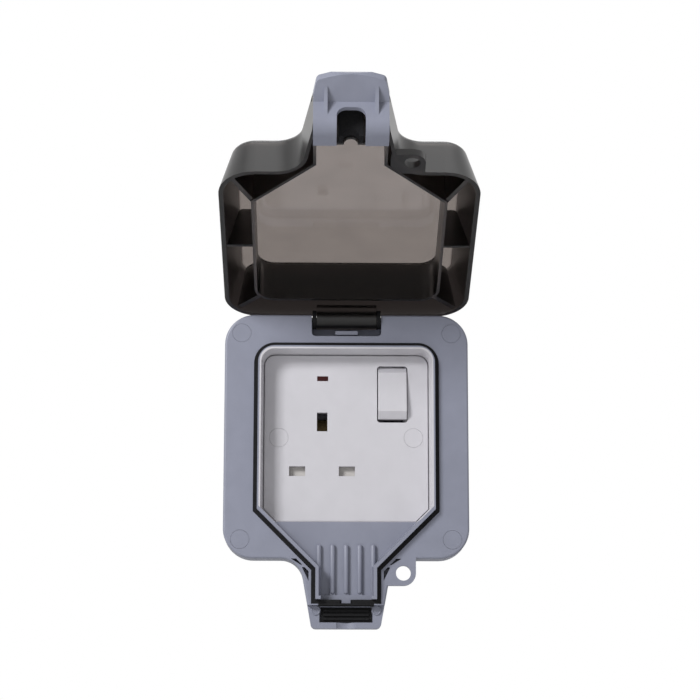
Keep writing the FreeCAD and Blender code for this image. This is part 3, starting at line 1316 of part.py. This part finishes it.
def main():
    """Builds every piece, checks it and writes it."""
    os.makedirs("parts", exist_ok=True)
    pieces = [make_front_frame(), make_lid(), make_latch(), make_back_box(), make_conduit_plug()]
    pieces += make_pins()
    pieces += [make_lid_seal(), make_cable_seal(), make_lid_cable_seal()]
    pieces.append(make_frame_gasket())
    pieces.append(make_screws("frame_screws", corner_spots,
                              f"({PLATE_FRONT} - corner_cap_thick - screw_head_thick)",
                              ("screw_head_radius", "screw_head_thick"), ("screw_radius",), "screw_length"))
    pieces.append(make_caps("frame_screw_caps", corner_spots, PLATE_FRONT,
                            "corner_cap_radius", "corner_cap_thick"))
    pieces += [make_socket_plate(), make_housing(), make_rocker()]
    pieces.append(make_screws("module_screws", module_spots,
                              f"({MODULE_FACE} - module_cap_thick - module_head_thick)",
                              ("module_head_radius", "module_head_thick"), ("module_screw_radius",),
                              "module_screw_length"))
    pieces.append(make_caps("module_screw_caps", module_spots, MODULE_FACE,
                            "module_cap_radius", "module_cap_thick"))
    pieces += make_switch()
    for name in SLOTS:
        pieces += [make_contact(name), make_terminal(name)]
    pieces.append(make_screws("terminal_screws", terminal_spots,
                              f"({HOUSING_FLOOR} + strip_wall + terminal_rise)",
                              ("terminal_head", "strip_wall * 2"), ("terminal_screw",), "terminal_rise / 3"))
    pieces += make_shutter() + make_neon()
    doc.recompute()
    for item in doc.Objects:
        if "Invalid" in item.State or "Error" in item.State:
            raise ValueError(f"{item.Name} is {item.State}")
    for piece in pieces:
        shape = piece.Shape
        if shape.isNull() or not shape.isValid() or not shape.Solids:
            raise ValueError(f"{piece.Label} has no sound shape")
        shape.exportStep(f"parts/{piece.Label}.step")
        print(piece.Label, len(shape.Solids), round(shape.Volume, 1))


if __name__ == "__main__":
    main()
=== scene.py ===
import logging
import math
from dataclasses import dataclass
from enum import Enum

import bmesh
import bpy
from mathutils import Matrix, Vector


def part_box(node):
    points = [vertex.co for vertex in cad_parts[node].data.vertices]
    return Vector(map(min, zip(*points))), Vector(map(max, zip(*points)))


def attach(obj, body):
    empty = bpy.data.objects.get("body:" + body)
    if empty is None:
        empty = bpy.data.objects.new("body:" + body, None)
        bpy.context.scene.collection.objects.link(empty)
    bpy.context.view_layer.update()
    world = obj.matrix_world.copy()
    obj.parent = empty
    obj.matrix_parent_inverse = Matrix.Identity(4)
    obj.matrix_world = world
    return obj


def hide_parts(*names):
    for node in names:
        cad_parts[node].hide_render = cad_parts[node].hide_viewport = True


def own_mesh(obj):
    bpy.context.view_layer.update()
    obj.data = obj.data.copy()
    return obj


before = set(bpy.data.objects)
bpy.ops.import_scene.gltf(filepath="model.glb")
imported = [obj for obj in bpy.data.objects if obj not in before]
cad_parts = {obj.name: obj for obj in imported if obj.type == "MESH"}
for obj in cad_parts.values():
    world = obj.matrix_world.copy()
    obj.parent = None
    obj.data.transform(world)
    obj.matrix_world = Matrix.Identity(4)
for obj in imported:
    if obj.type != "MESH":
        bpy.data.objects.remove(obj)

# Dresses the weatherproof socket: finishes for every CAD node, a few fine pieces, light, floor and camera.
# Everything is in metres, in the frame of the CAD: X to the right, Z up, and the front faces -Y.

logging.basicConfig(level=logging.INFO, format="%(message)s")
log = logging.getLogger("socket")

Triple = tuple[float, float, float]
Colour = Triple
Socket = bpy.types.NodeSocket
Term = Socket | float
Tone = Socket | Colour

MM = 0.001
ORIGIN: Triple = (0.0, 0.0, 0.0)
ACROSS: Triple = (1.0, 0.0, 0.0)
BACK: Triple = (0.0, 1.0, 0.0)
UP: Triple = (0.0, 0.0, 1.0)
SHARP = math.radians(32.0)
SAME_SPOT = 0.001 * MM
ON_PLANE = 0.0001 * MM
SIDES = ((-1, "left"), (1, "right"))


class Slot(Enum):
    """The material slots of the record."""

    GREY = "grey_plastic"
    WHITE = "white_plastic"
    SMOKED = "smoked_plastic"
    RUBBER = "rubber"
    STEEL = "steel"
    DARK_STEEL = "dark_steel"
    BRASS = "brass"
    SHUTTER = "shutter_plastic"
    LENS = "red_lens"
    LAMP = "lamp_glass"


class Shader:
    """A material's node tree, with short calls for the nodes that the finishes share."""

    NOISE_LOW = 0.3
    NOISE_HIGH = 0.7

    def __init__(self, name: str) -> None:
        """Starts a material that holds one Principled shader.

        Args:
            name: the material's name.
        """
        self.material = bpy.data.materials.new(name)
        self.material.use_nodes = True
        self.tree = self.material.node_tree
        self.tree.nodes.clear()
        self.surface = self.node("ShaderNodeBsdfPrincipled")
        self.place = self.node("ShaderNodeTexCoord")
        output = self.node("ShaderNodeOutputMaterial")
        self.link(self.surface.outputs["BSDF"], output.inputs["Surface"])

    def node(self, kind: str) -> bpy.types.Node:
        """Adds a node of the given kind."""
        return self.tree.nodes.new(kind)

    def link(self, source: Socket, target: Socket) -> None:
        """Joins two sockets."""
        self.tree.links.new(source, target)

    def set(self, **values: float) -> None:
        """Sets plain numbers on the shader's own sockets, by name with _ for a space."""
        for name, value in values.items():
            self.surface.inputs[name.replace("_", " ")].default_value = value

    def noise(self, grain: float, detail: float = 3.0, stretch: Triple = (1.0, 1.0, 1.0)) -> Socket:
        """Noise in the object's own coordinates.

        Args:
            grain: the size of one blot, in metres.
            detail: how many finer layers are added.
            stretch: how the pattern is squeezed along each axis.

        Returns:
            The socket that gives the noise, from 0 to 1.
        """
        mapping = self.node("ShaderNodeMapping")
        mapping.inputs["Scale"].default_value = stretch
        self.link(self.place.outputs["Object"], mapping.inputs["Vector"])
        noise = self.node("ShaderNodeTexNoise")
        noise.inputs["Scale"].default_value = 1.0 / grain
        noise.inputs["Detail"].default_value = detail
        self.link(mapping.outputs["Vector"], noise.inputs["Vector"])
        return noise.outputs["Fac"]

    def spread(self, source: Socket, low: float, high: float) -> Socket:
        """Maps noise's middle range to another range.

        Args:
            source: the noise.
            low: what its darker blots become.
            high: what its lighter blots become.

        Returns:
            The socket that gives the result, from low to high.
        """
        scale = self.node("ShaderNodeMapRange")
        scale.inputs["From Min"].default_value = self.NOISE_LOW
        scale.inputs["From Max"].default_value = self.NOISE_HIGH
        scale.inputs["To Min"].default_value = low
        scale.inputs["To Max"].default_value = high
        self.link(source, scale.inputs["Value"])
        return scale.outputs["Result"]

    def calc(self, kind: str, *terms: Term) -> Socket:
        """Adds one step of arithmetic.

        Args:
            kind: the operation's name.
            terms: sockets or plain numbers.

        Returns:
            The socket that gives the result.
        """
        step = self.node("ShaderNodeMath")
        step.operation = kind
        for place, term in zip(step.inputs, terms):
            if isinstance(term, float):
                place.default_value = term
            else:
                self.link(term, place)
        return step.outputs["Value"]

    def along(self, axis: Triple, origin: Triple) -> Socket:
        """Measures how far a point of the object lies along an axis.

        Args:
            axis: the direction, one unit long.
            origin: where the measure starts.

        Returns:
            The socket that gives the distance, in metres.
        """
        parts = self.node("ShaderNodeVectorMath")
        parts.operation = "SUBTRACT"
        parts.inputs[1].default_value = origin
        self.link(self.place.outputs["Object"], parts.inputs[0])
        product = self.node("ShaderNodeVectorMath")
        product.operation = "DOT_PRODUCT"
        product.inputs[1].default_value = axis
        self.link(parts.outputs["Vector"], product.inputs[0])
        return product.outputs["Value"]

    def step(self, source: Socket, start: float, stop: float) -> Socket:
        """Turns a measure into a soft step.

        Args:
            source: the measure.
            start: where the step is still 0.
            stop: where it has reached 1.

        Returns:
            The socket that gives the step, from 0 to 1.
        """
        ramp = self.node("ShaderNodeMapRange")
        ramp.interpolation_type = "SMOOTHSTEP"
        ramp.inputs["From Min"].default_value = start
        ramp.inputs["From Max"].default_value = stop
        self.link(source, ramp.inputs["Value"])
        return ramp.outputs["Result"]

    def mix(self, source: Socket, first: Tone, second: Tone) -> Socket:
        """Mixes two tones, each a colour or a socket.

        Args:
            source: the share of the second tone, from 0 to 1.
            first: the tone where the share is 0.
            second: the tone where the share is 1.

        Returns:
            The socket that gives the mixed tone.
        """
        mix = self.node("ShaderNodeMix")
        mix.data_type = "RGBA"
        colours = [place for place in mix.inputs if place.type == "RGBA"]
        for place, tone in zip(colours, (first, second)):
            if isinstance(tone, tuple):
                place.default_value = (*tone, 1.0)
            else:
                self.link(tone, place)
        self.link(source, mix.inputs["Factor"])
        return next(place for place in mix.outputs if place.type == "RGBA")

    def paint(self, tone: Socket) -> None:
        """Colours the surface."""
        self.link(tone, self.surface.inputs["Base Color"])

    def dull(self, source: Socket) -> None:
        """Gives the surface its roughness."""
        self.link(source, self.surface.inputs["Roughness"])

    def bump(self, source: Socket, strength: float, depth: float) -> None:
        """Raises the surface by the source.

        Args:
            source: the height, from 0 to 1.
            strength: how much of it is seen.
            depth: the height of a full step, in metres.
        """
        bump = self.node("ShaderNodeBump")
        bump.inputs["Strength"].default_value = strength
        bump.inputs["Distance"].default_value = depth
        self.link(source, bump.inputs["Height"])
        self.link(bump.outputs["Normal"], self.surface.inputs["Normal"])


def shade(colour: Colour, share: float) -> Colour:
    """The colour, made lighter or darker by a share."""
    return tuple(min(1.0, part * (1.0 + share)) for part in colour)


@dataclass(frozen=True)
class MouldedFinish:
    """Moulded plastic or rubber: an even colour with slight clouding, a fine grain and soft gloss."""

    slot: Slot
    colour: Colour
    clouding: float = 0.04
    cloud_size: float = 9 * MM
    grain: float = 0.35 * MM
    grain_detail: float = 2.0
    grain_depth: float = 0.02 * MM
    grain_strength: float = 0.25
    smooth: float = 0.38
    rough: float = 0.48
    gloss: float = 0.5
    index: float = 1.5

    def tone(self, shader: Shader, colour: Colour) -> Socket:
        """A colour with slight clouding."""
        clouds = shader.spread(shader.noise(self.cloud_size), 0.0, 1.0)
        return shader.mix(clouds, shade(colour, -self.clouding), shade(colour, self.clouding))

    def base_tone(self, shader: Shader) -> Socket:
        """The tone of the whole surface."""
        return self.tone(shader, self.colour)

    def build(self) -> bpy.types.Material:
        """Makes the material.

        Returns:
            The finished material.
        """
        shader = Shader(type(self).__name__ + "_" + self.slot.value)
        shader.paint(self.base_tone(shader))
        fine = shader.noise(self.grain, self.grain_detail)
        shader.dull(shader.spread(fine, self.smooth, self.rough))
        shader.bump(fine, self.grain_strength, self.grain_depth)
        shader.set(IOR=self.index, Specular_IOR_Level=self.gloss)
        return shader.material


@dataclass(frozen=True)
class RecessFinish(MouldedFinish):
    """The frame's moulding, with pale walls in the recess round the socket plate."""

    recess: Colour = (0.56, 0.55, 0.58)
    half_width: float = 38.7 * MM
    low: float = -37.9 * MM
    high: float = 39.4 * MM
    corner: float = 6.0 * MM
    diagonal: float = 70.5 * MM
    blur: float = 0.05 * MM

    def base_tone(self, shader: Shader) -> Socket:
        """Grey outside, and pale inside a rounded square with cut lower corners.

        Args:
            shader: the material that gets the nodes.

        Returns:
            The socket that gives the tone.
        """
        half_height = (self.high - self.low) / 2
        middle = (self.high + self.low) / 2
        across = shader.calc("ABSOLUTE", shader.along(ACROSS, ORIGIN))
        up = shader.along(UP, ORIGIN)
        off = shader.calc("ABSOLUTE", shader.calc("SUBTRACT", up, middle))
        wide = shader.calc("MAXIMUM", shader.calc("SUBTRACT", across, self.half_width - self.corner), 0.0)
        tall = shader.calc("MAXIMUM", shader.calc("SUBTRACT", off, half_height - self.corner), 0.0)
        squares = shader.calc("ADD", shader.calc("POWER", wide, 2.0), shader.calc("POWER", tall, 2.0))
        outline = shader.step(shader.calc("SQRT", squares), self.corner + self.blur,
                              self.corner - self.blur)
        slant = shader.step(shader.calc("SUBTRACT", across, up), self.diagonal + self.blur,
                            self.diagonal - self.blur)
        inside = shader.calc("MULTIPLY", outline, slant)
        return shader.mix(inside, self.tone(shader, self.colour), self.tone(shader, self.recess))


@dataclass(frozen=True)
class SmokedFinish:
    """Tinted see-through plastic with a polished face."""

    slot: Slot
    tint: Colour
    unevenness: float = 0.06
    cloud_size: float = 14 * MM
    ripple: float = 4 * MM
    ripple_detail: float = 1.0
    ripple_strength: float = 0.06
    ripple_depth: float = 0.05 * MM
    roughness: float = 0.07
    index: float = 1.49
    clearness: float = 1.0

    def base_tone(self, shader: Shader) -> Socket:
        """The tint, a little uneven."""
        clouds = shader.spread(shader.noise(self.cloud_size), 0.0, 1.0)
        return shader.mix(clouds, shade(self.tint, -self.unevenness), shade(self.tint, self.unevenness))

    def build(self) -> bpy.types.Material:
        """Makes the material.

        Returns:
            The finished material.
        """
        shader = Shader(type(self).__name__ + "_" + self.slot.value)
        shader.paint(self.base_tone(shader))
        shader.bump(shader.noise(self.ripple, self.ripple_detail), self.ripple_strength, self.ripple_depth)
        shader.set(Transmission_Weight=self.clearness, IOR=self.index, Roughness=self.roughness)
        return shader.material


@dataclass(frozen=True)
class LidFinish(SmokedFinish):
    """The lid's smoked plastic: clear in its roof, with a near-black painted shade in the walls, which are
    seen edge on.
    """

    # Near-black painted shade for the lid's walls, far darker than the plastic's own tint.
    painted_wall_shade: Colour = (0.022, 0.018, 0.017)
    hinge: Triple = (0.0, -41.2 * MM, 52.9 * MM)
    roofwards: Triple = (0.0, 0.357, 0.934)
    wall_end: float = 22.0 * MM
    roof_start: float = 22.7 * MM
    wall_roughness: float = 0.3

    def base_tone(self, shader: Shader) -> Socket:
        """The tint of the roof, and a near-black painted shade below it, where the surface is duller too.

        Args:
            shader: the material that gets the nodes.

        Returns:
            The socket that gives the tone.
        """
        # Painted shade: below the roof the tint gives way to the near-black wall colour.
        rise = shader.step(shader.along(self.roofwards, self.hinge), self.wall_end, self.roof_start)
        shader.dull(shader.calc("MULTIPLY_ADD", rise, self.roughness - self.wall_roughness,
                                self.wall_roughness))
        return shader.mix(rise, self.painted_wall_shade, super().base_tone(shader))


@dataclass(frozen=True)
class MetalFinish:
    """Drawn or stamped metal with fine brushing along one axis."""

    slot: Slot
    colour: Colour
    cloud_size: float = 3 * MM
    darker: float = -0.08
    lighter: float = 0.04
    brushing: float = 0.25 * MM
    brushing_detail: float = 2.0
    brushing_stretch: Triple = (1.0, 0.08, 1.0)
    brushing_strength: float = 0.15
    brushing_depth: float = 0.01 * MM
    smooth: float = 0.22
    rough: float = 0.42

    def build(self) -> bpy.types.Material:
        """Makes the material.

        Returns:
            The finished material.
        """
        shader = Shader(type(self).__name__ + "_" + self.slot.value)
        clouds = shader.spread(shader.noise(self.cloud_size), 0.0, 1.0)
        shader.paint(shader.mix(clouds, shade(self.colour, self.darker), shade(self.colour, self.lighter)))
        lines = shader.noise(self.brushing, self.brushing_detail, self.brushing_stretch)
        shader.dull(shader.spread(lines, self.smooth, self.rough))
        shader.bump(lines, self.brushing_strength, self.brushing_depth)
        shader.set(Metallic=1.0)
        return shader.material


GREY: Colour = (0.220, 0.231, 0.293)

FINISHES: tuple[MouldedFinish | SmokedFinish | MetalFinish, ...] = (
    MouldedFinish(Slot.GREY, GREY),
    MouldedFinish(Slot.WHITE, (0.555, 0.546, 0.58), clouding=0.02, smooth=0.28, rough=0.36),
    MouldedFinish(Slot.RUBBER, (0.004, 0.004, 0.005), clouding=0.15, grain=0.6 * MM, smooth=0.6,
                  rough=0.8, gloss=0.2),
    MouldedFinish(Slot.SHUTTER, (0.50, 0.48, 0.46), clouding=0.03, smooth=0.35, rough=0.45),
    SmokedFinish(Slot.LENS, (0.045, 0.001, 0.0015), roughness=0.2, index=1.3, clearness=0.35),
    SmokedFinish(Slot.LAMP, (0.93, 0.93, 0.92), unevenness=0.02, roughness=0.03),
    MetalFinish(Slot.STEEL, (0.56, 0.57, 0.58)),
    MetalFinish(Slot.DARK_STEEL, (0.05, 0.05, 0.055)),
    # The brass is painted far darker than brass: painted shade for the shade inside the socket's slots,
    # where the contacts show.
    MetalFinish(Slot.BRASS, (0.075, 0.055, 0.028)),
)
FRAME_FINISH = RecessFinish(Slot.GREY, GREY)
LID_FINISH = LidFinish(Slot.SMOKED, (0.235, 0.205, 0.19))


class Workshop:
    """Holds the finished materials, dresses nodes and turns bmeshes into pieces."""

    def __init__(self) -> None:
        """Builds every finish once."""
        self.materials = {finish.slot: finish.build() for finish in FINISHES}

    def dress(self, slot: Slot, *nodes: str) -> None:
        """Gives CAD nodes a finish.

        Args:
            slot: the finish.
            nodes: the names of the nodes.
        """
        for name in nodes:
            self.coat(self.materials[slot], name)

    def coat(self, material: bpy.types.Material, name: str) -> None:
        """Puts a material in all the material slots of a CAD node.

        Args:
            material: the material.
            name: the node's name.
        """
        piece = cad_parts[name]
        if not piece.material_slots:
            piece.data.materials.append(material)
        for place in piece.material_slots:
            place.material = material
        log.info("%s: %s", name, material.name)

    def finish(self, mesh: bmesh.types.BMesh, name: str, slot: Slot, body: str) -> bpy.types.Object:
        """Makes a smooth piece of a bmesh, and lets it ride on a body.

        Args:
            mesh: the shape, in the frame of the CAD.
            name: the piece's name.
            slot: its finish.
            body: the CAD body that carries it.

        Returns:
            The new object.
        """
        bmesh.ops.recalc_face_normals(mesh, faces=mesh.faces)
        for face in mesh.faces:
            face.smooth = True
        for edge in mesh.edges:
            edge.smooth = len(edge.link_faces) == 2 and edge.calc_face_angle() < SHARP
        data = bpy.data.meshes.new(name)
        mesh.to_mesh(data)
        mesh.free()
        data.materials.append(self.materials[slot])
        piece = bpy.data.objects.new(name, data)
        bpy.context.scene.collection.objects.link(piece)
        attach(piece, body)
        log.info("%s: %d faces", name, len(data.polygons))
        return piece


@dataclass
class Base:
    """The front frame, the box behind it, their seals and the caps over the corner screws."""

    workshop: Workshop
    stud_reach: float = 13.4 * MM
    stud_height: float = -77.1 * MM
    stud_front: float = -40.2 * MM
    ring_radius: float = 1.75 * MM
    ring_wire: float = 0.28 * MM
    ring_sides: int = 10
    ring_steps: int = 40
    rib_pitch: float = 6.0 * MM
    rib_count: int = 5
    rib_half: float = 1.12 * MM
    rib_front: float = -39.6 * MM
    rib_dome: float = 0.9 * MM
    rib_high: float = -48.0 * MM
    rib_low: float = -70.1 * MM
    rib_sides: int = 20
    rib_rings: int = 9
    apron_half: float = 12.2 * MM
    apron_outline: tuple[tuple[float, float], ...] = (
        (44.0, -74.3), (44.25, -74.3), (44.25, -75.2), (39.9, -75.4), (39.9, -75.02), (44.0, -75.02))

    def build(self) -> None:
        """Dresses the nodes, rounds the channel's ribs and finishes the neck's end."""
        self.workshop.coat(FRAME_FINISH.build(), "front_frame")
        self.workshop.dress(Slot.GREY, "back_box", "conduit_plug", "frame_screw_caps")
        self.workshop.dress(Slot.RUBBER, "lid_seal", "cable_seal", "frame_gasket")
        self.workshop.dress(Slot.STEEL, "frame_screws")
        self.workshop.dress(Slot.DARK_STEEL, "hinge_pin")
        for side, hand in SIDES:
            self.make_stud_ring(side, f"stud_ring_{hand}")
        for count in range(self.rib_count):
            self.round_rib((count - (self.rib_count - 1) / 2) * self.rib_pitch, f"rib_dome_{count + 1}")
        self.hang_apron()

    def round_rib(self, across: float, name: str) -> None:
        """Lays a long dome on the flat top of a rib in the cable channel.

        Args:
            across: where the rib's middle lies along X.
            name: the piece's name.
        """
        mesh = bmesh.new()
        bmesh.ops.create_uvsphere(mesh, u_segments=self.rib_sides, v_segments=self.rib_rings,
                                  radius=self.rib_half)
        for spot in mesh.verts:
            end = self.rib_high - self.rib_half if spot.co.z > 0.0 else self.rib_low + self.rib_half
            front = self.rib_front + spot.co.y * self.rib_dome / self.rib_half
            spot.co = Vector((across + spot.co.x, front, end + spot.co.z))
        self.workshop.finish(mesh, name, Slot.GREY, "base")

    def hang_apron(self) -> None:
        """Hangs the soft apron that joins the seal on the neck's end wall to the cable pad."""
        mesh = bmesh.new()
        outline = [mesh.verts.new((-self.apron_half, -lift * MM, height * MM))
                   for lift, height in self.apron_outline]
        face = mesh.faces.new(outline)
        pushed = bmesh.ops.extrude_face_region(mesh, geom=[face])["geom"]
        bmesh.ops.translate(mesh, vec=(2 * self.apron_half, 0.0, 0.0),
                            verts=[part for part in pushed if isinstance(part, bmesh.types.BMVert)])
        self.workshop.finish(mesh, "seal_apron", Slot.RUBBER, "base")

    def make_stud_ring(self, side: int, name: str) -> None:
        """A thin raised ring on the face of a stud.

        Args:
            side: -1 for the left stud, 1 for the right one.
            name: the piece's name.
        """
        centre = Vector((side * self.stud_reach, self.stud_front, self.stud_height))
        mesh = bmesh.new()
        section = bmesh.ops.create_circle(mesh, segments=self.ring_sides, radius=self.ring_wire)
        place = Matrix.Translation(centre + Vector((self.ring_radius, 0.0, 0.0)))
        bmesh.ops.transform(mesh, matrix=place, verts=section["verts"])
        bmesh.ops.spin(mesh, geom=mesh.verts[:] + mesh.edges[:], cent=centre, axis=BACK,
                       angle=math.tau, steps=self.ring_steps, use_merge=True)
        self.workshop.finish(mesh, name, Slot.GREY, "base")


@dataclass
class Lid:
    """The smoked lid, its cable pad, the latch, the latch's pin and the washers beside the hinge knuckle."""

    workshop: Workshop
    hinge_front: float = -41.2 * MM
    hinge_height: float = 52.9 * MM
    washer_near: float = 13.5 * MM
    washer_far: float = 15.3 * MM
    washer_bore: float = 1.35 * MM
    washer_radius: float = 4.2 * MM
    washer_steps: int = 48

    def build(self) -> None:
        """Dresses the nodes, evens out the latch and fills the knuckle's ends."""
        self.workshop.coat(LID_FINISH.build(), "lid_cover")
        self.workshop.dress(Slot.RUBBER, "lid_cable_seal")
        self.workshop.dress(Slot.GREY, "latch")
        self.workshop.dress(Slot.DARK_STEEL, "latch_pin")
        self.mirror_latch()
        for side, hand in SIDES:
            self.make_washer(side, f"hinge_washer_{hand}")

    def make_washer(self, side: int, name: str) -> None:
        """A washer on the hinge pin, between the lid's knuckle and the side of the notch.

        Args:
            side: -1 for the left washer, 1 for the right one.
            name: the piece's name.
        """
        mesh = bmesh.new()
        rim = ((self.washer_near, self.washer_bore), (self.washer_far, self.washer_bore),
               (self.washer_far, self.washer_radius), (self.washer_near, self.washer_radius))
        spots = [mesh.verts.new((side * across, self.hinge_front, self.hinge_height + out))
                 for across, out in rim]
        for spot, following in zip(spots, spots[1:] + spots[:1]):
            mesh.edges.new((spot, following))
        bmesh.ops.spin(mesh, geom=mesh.verts[:] + mesh.edges[:],
                       cent=(0.0, self.hinge_front, self.hinge_height), axis=ACROSS,
                       angle=math.tau, steps=self.washer_steps, use_merge=True)
        self.workshop.finish(mesh, name, Slot.RUBBER, "lid")

    def mirror_latch(self) -> None:
        """Makes the latch alike on both sides, from the half whose finger tab tapers."""
        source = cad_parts["latch"].data
        mesh = bmesh.new()
        corners = [mesh.verts.new(spot.co) for spot in source.vertices]
        for face in source.polygons:
            mesh.faces.new([corners[place] for place in face.vertices])
        bmesh.ops.remove_doubles(mesh, verts=mesh.verts, dist=SAME_SPOT)
        bmesh.ops.bisect_plane(mesh, geom=mesh.verts[:] + mesh.edges[:] + mesh.faces[:], dist=ON_PLANE,
                               plane_co=ORIGIN, plane_no=ACROSS, clear_inner=True)
        bmesh.ops.mirror(mesh, geom=mesh.verts[:] + mesh.edges[:] + mesh.faces[:],
                         matrix=Matrix.Identity(4), merge_dist=SAME_SPOT, axis="X")
        latch = self.workshop.finish(mesh, "latch_moulding", Slot.GREY, "latch_body")
        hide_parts("latch")


@dataclass
class SocketModule:
    """The white plate with its rocker, red window and shutter, and the works behind it."""

    workshop: Workshop
    spring_wire: float = 0.16 * MM
    spring_sides: int = 8
    spring_turns: int = 7
    spring_steps: int = 20
    shutter_travel: float = 5.6 * MM

    def build(self) -> None:
        """Dresses the nodes and winds the shutter's spring."""
        self.workshop.dress(Slot.WHITE, "socket_plate", "socket_housing", "rocker", "module_screw_caps")
        self.workshop.dress(Slot.SHUTTER, "shutter")
        self.workshop.dress(Slot.LENS, "neon_lens")
        self.workshop.dress(Slot.LAMP, "neon_lamp")
        self.workshop.dress(Slot.STEEL, "module_screws", "terminal_screws")
        self.workshop.dress(Slot.BRASS, "switch_blade", "switch_cradle", "switch_contact")
        for name in ("live", "neutral", "earth"):
            self.workshop.dress(Slot.BRASS, name + "_contact", name + "_terminal")
        self.wind_spring()

    def wind_spring(self) -> None:
        """Winds a coil of wire in the place of the plain spring."""
        low, high = (Vector(corner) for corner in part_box("shutter_spring"))
        axis = (low + high) / 2
        radius = (high.x - low.x) / 2 - self.spring_wire
        height = high.z - low.z - 2 * self.spring_wire
        steps = self.spring_turns * self.spring_steps
        mesh = bmesh.new()
        wire = bmesh.ops.create_circle(mesh, segments=self.spring_sides, radius=self.spring_wire,
                                       cap_ends=True)
        start = Vector((axis.x + radius, axis.y, low.z + self.spring_wire))
        place = Matrix.Translation(start) @ Matrix.Rotation(math.pi / 2, 4, "X")
        bmesh.ops.transform(mesh, matrix=place, verts=wire["verts"])
        bmesh.ops.spin(mesh, geom=mesh.faces[:], cent=(axis.x, axis.y, low.z), axis=UP,
                       dvec=(0.0, 0.0, height / steps), angle=self.spring_turns * math.tau, steps=steps)
        spring = self.workshop.finish(mesh, "shutter_coil", Slot.STEEL, "base")
        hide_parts("shutter_spring")
        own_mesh(spring)


@dataclass(frozen=True)
class Lamp:
    """A square soft lamp: its name, its place, the length of its side, and its power in watts."""

    name: str
    place: Triple
    size: float
    power: float


@dataclass
class Studio:
    """The pale floor, soft lamps, white surroundings and the camera."""

    floor_drop: float = -0.155
    floor_half: float = 1.5
    floor_cloud: float = 0.2
    floor_dark: Colour = (0.86, 0.86, 0.86)
    floor_light: Colour = (0.9, 0.9, 0.9)
    floor_roughness: float = 0.9
    sky_light: float = 0.2
    sky_seen: float = 1.0
    lamps: tuple[Lamp, ...] = (
        Lamp("key_lamp", (-0.8, -1.05, 0.6), 0.4, 17.0),
        Lamp("fill_lamp", (1.1, -1.2, 0.35), 1.2, 1.2),
        Lamp("top_lamp", (0.1, 0.1, 1.3), 0.9, 3.0),
    )
    aim: Triple = (0.0, -0.06, 0.02)
    lens: float = 110.457
    sensor: float = 36.0
    camera_place: Triple = (-0.013267, -0.98868, -0.14234)
    camera_yaw: float = -0.0157
    camera_pitch: float = 0.1893
    camera_roll: float = -0.0014

    def build(self) -> None:
        """Makes the studio."""
        self.lay_floor()
        self.light_world()
        for lamp in self.lamps:
            self.hang_lamp(lamp)
        self.set_camera()
        bpy.context.scene.view_settings.view_transform = "Standard"

    def lay_floor(self) -> None:
        """Lays a pale floor under the socket."""
        mesh = bmesh.new()
        bmesh.ops.create_grid(mesh, x_segments=1, y_segments=1, size=self.floor_half)
        bmesh.ops.transform(mesh, matrix=Matrix.Translation((0.0, 0.0, self.floor_drop)), verts=mesh.verts)
        data = bpy.data.meshes.new("floor")
        mesh.to_mesh(data)
        mesh.free()
        shader = Shader("floor_paint")
        clouds = shader.spread(shader.noise(self.floor_cloud), 0.0, 1.0)
        shader.paint(shader.mix(clouds, self.floor_dark, self.floor_light))
        shader.set(Roughness=self.floor_roughness)
        data.materials.append(shader.material)
        floor = bpy.data.objects.new("floor", data)
        bpy.context.scene.collection.objects.link(floor)

    def light_world(self) -> None:
        """Surrounds the scene with an even light that the camera, gloss and glass see as white."""
        world = bpy.data.worlds.new("surroundings")
        world.use_nodes = True
        bpy.context.scene.world = world
        tree = world.node_tree
        tree.nodes.clear()
        rays = tree.nodes.new("ShaderNodeLightPath")
        seen = rays.outputs["Is Camera Ray"]
        for kind in ("Is Glossy Ray", "Is Transmission Ray"):
            either = tree.nodes.new("ShaderNodeMath")
            either.operation = "MAXIMUM"
            tree.links.new(seen, either.inputs[0])
            tree.links.new(rays.outputs[kind], either.inputs[1])
            seen = either.outputs["Value"]
        strength = tree.nodes.new("ShaderNodeMapRange")
        strength.inputs["To Min"].default_value = self.sky_light
        strength.inputs["To Max"].default_value = self.sky_seen
        tree.links.new(seen, strength.inputs["Value"])
        sky = tree.nodes.new("ShaderNodeBackground")
        sky.inputs["Color"].default_value = (1.0, 1.0, 1.0, 1.0)
        tree.links.new(strength.outputs["Result"], sky.inputs["Strength"])
        output = tree.nodes.new("ShaderNodeOutputWorld")
        tree.links.new(sky.outputs["Background"], output.inputs["Surface"])

    def hang_lamp(self, lamp: Lamp) -> None:
        """Hangs a lamp that looks at the socket.

        Args:
            lamp: its name, place, size and power.
        """
        data = bpy.data.lights.new(lamp.name, "AREA")
        data.size = lamp.size
        data.energy = lamp.power
        hung = bpy.data.objects.new(lamp.name, data)
        hung.location = lamp.place
        hung.rotation_euler = (Vector(self.aim) - Vector(lamp.place)).to_track_quat("-Z", "Y").to_euler()
        bpy.context.scene.collection.objects.link(hung)

    def set_camera(self) -> None:
        """Sets the camera at the photograph's view."""
        data = bpy.data.cameras.new("camera")
        data.lens = self.lens
        data.sensor_width = self.sensor
        camera = bpy.data.objects.new("camera", data)
        turn = (Matrix.Rotation(self.camera_yaw, 4, "Z") @ Matrix.Rotation(self.camera_pitch, 4, "X")
                @ Matrix.Rotation(self.camera_roll, 4, "Y"))
        upright = Matrix.Rotation(math.pi / 2, 4, "X")
        camera.matrix_world = Matrix.Translation(self.camera_place) @ turn @ upright
        bpy.context.scene.collection.objects.link(camera)
        bpy.context.scene.camera = camera


def main() -> None:
    """Builds the pieces in order, then the studio."""
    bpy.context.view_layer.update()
    workshop = Workshop()
    Base(workshop).build()
    Lid(workshop).build()
    SocketModule(workshop).build()
    Studio().build()


if __name__ == "__main__":
    main()
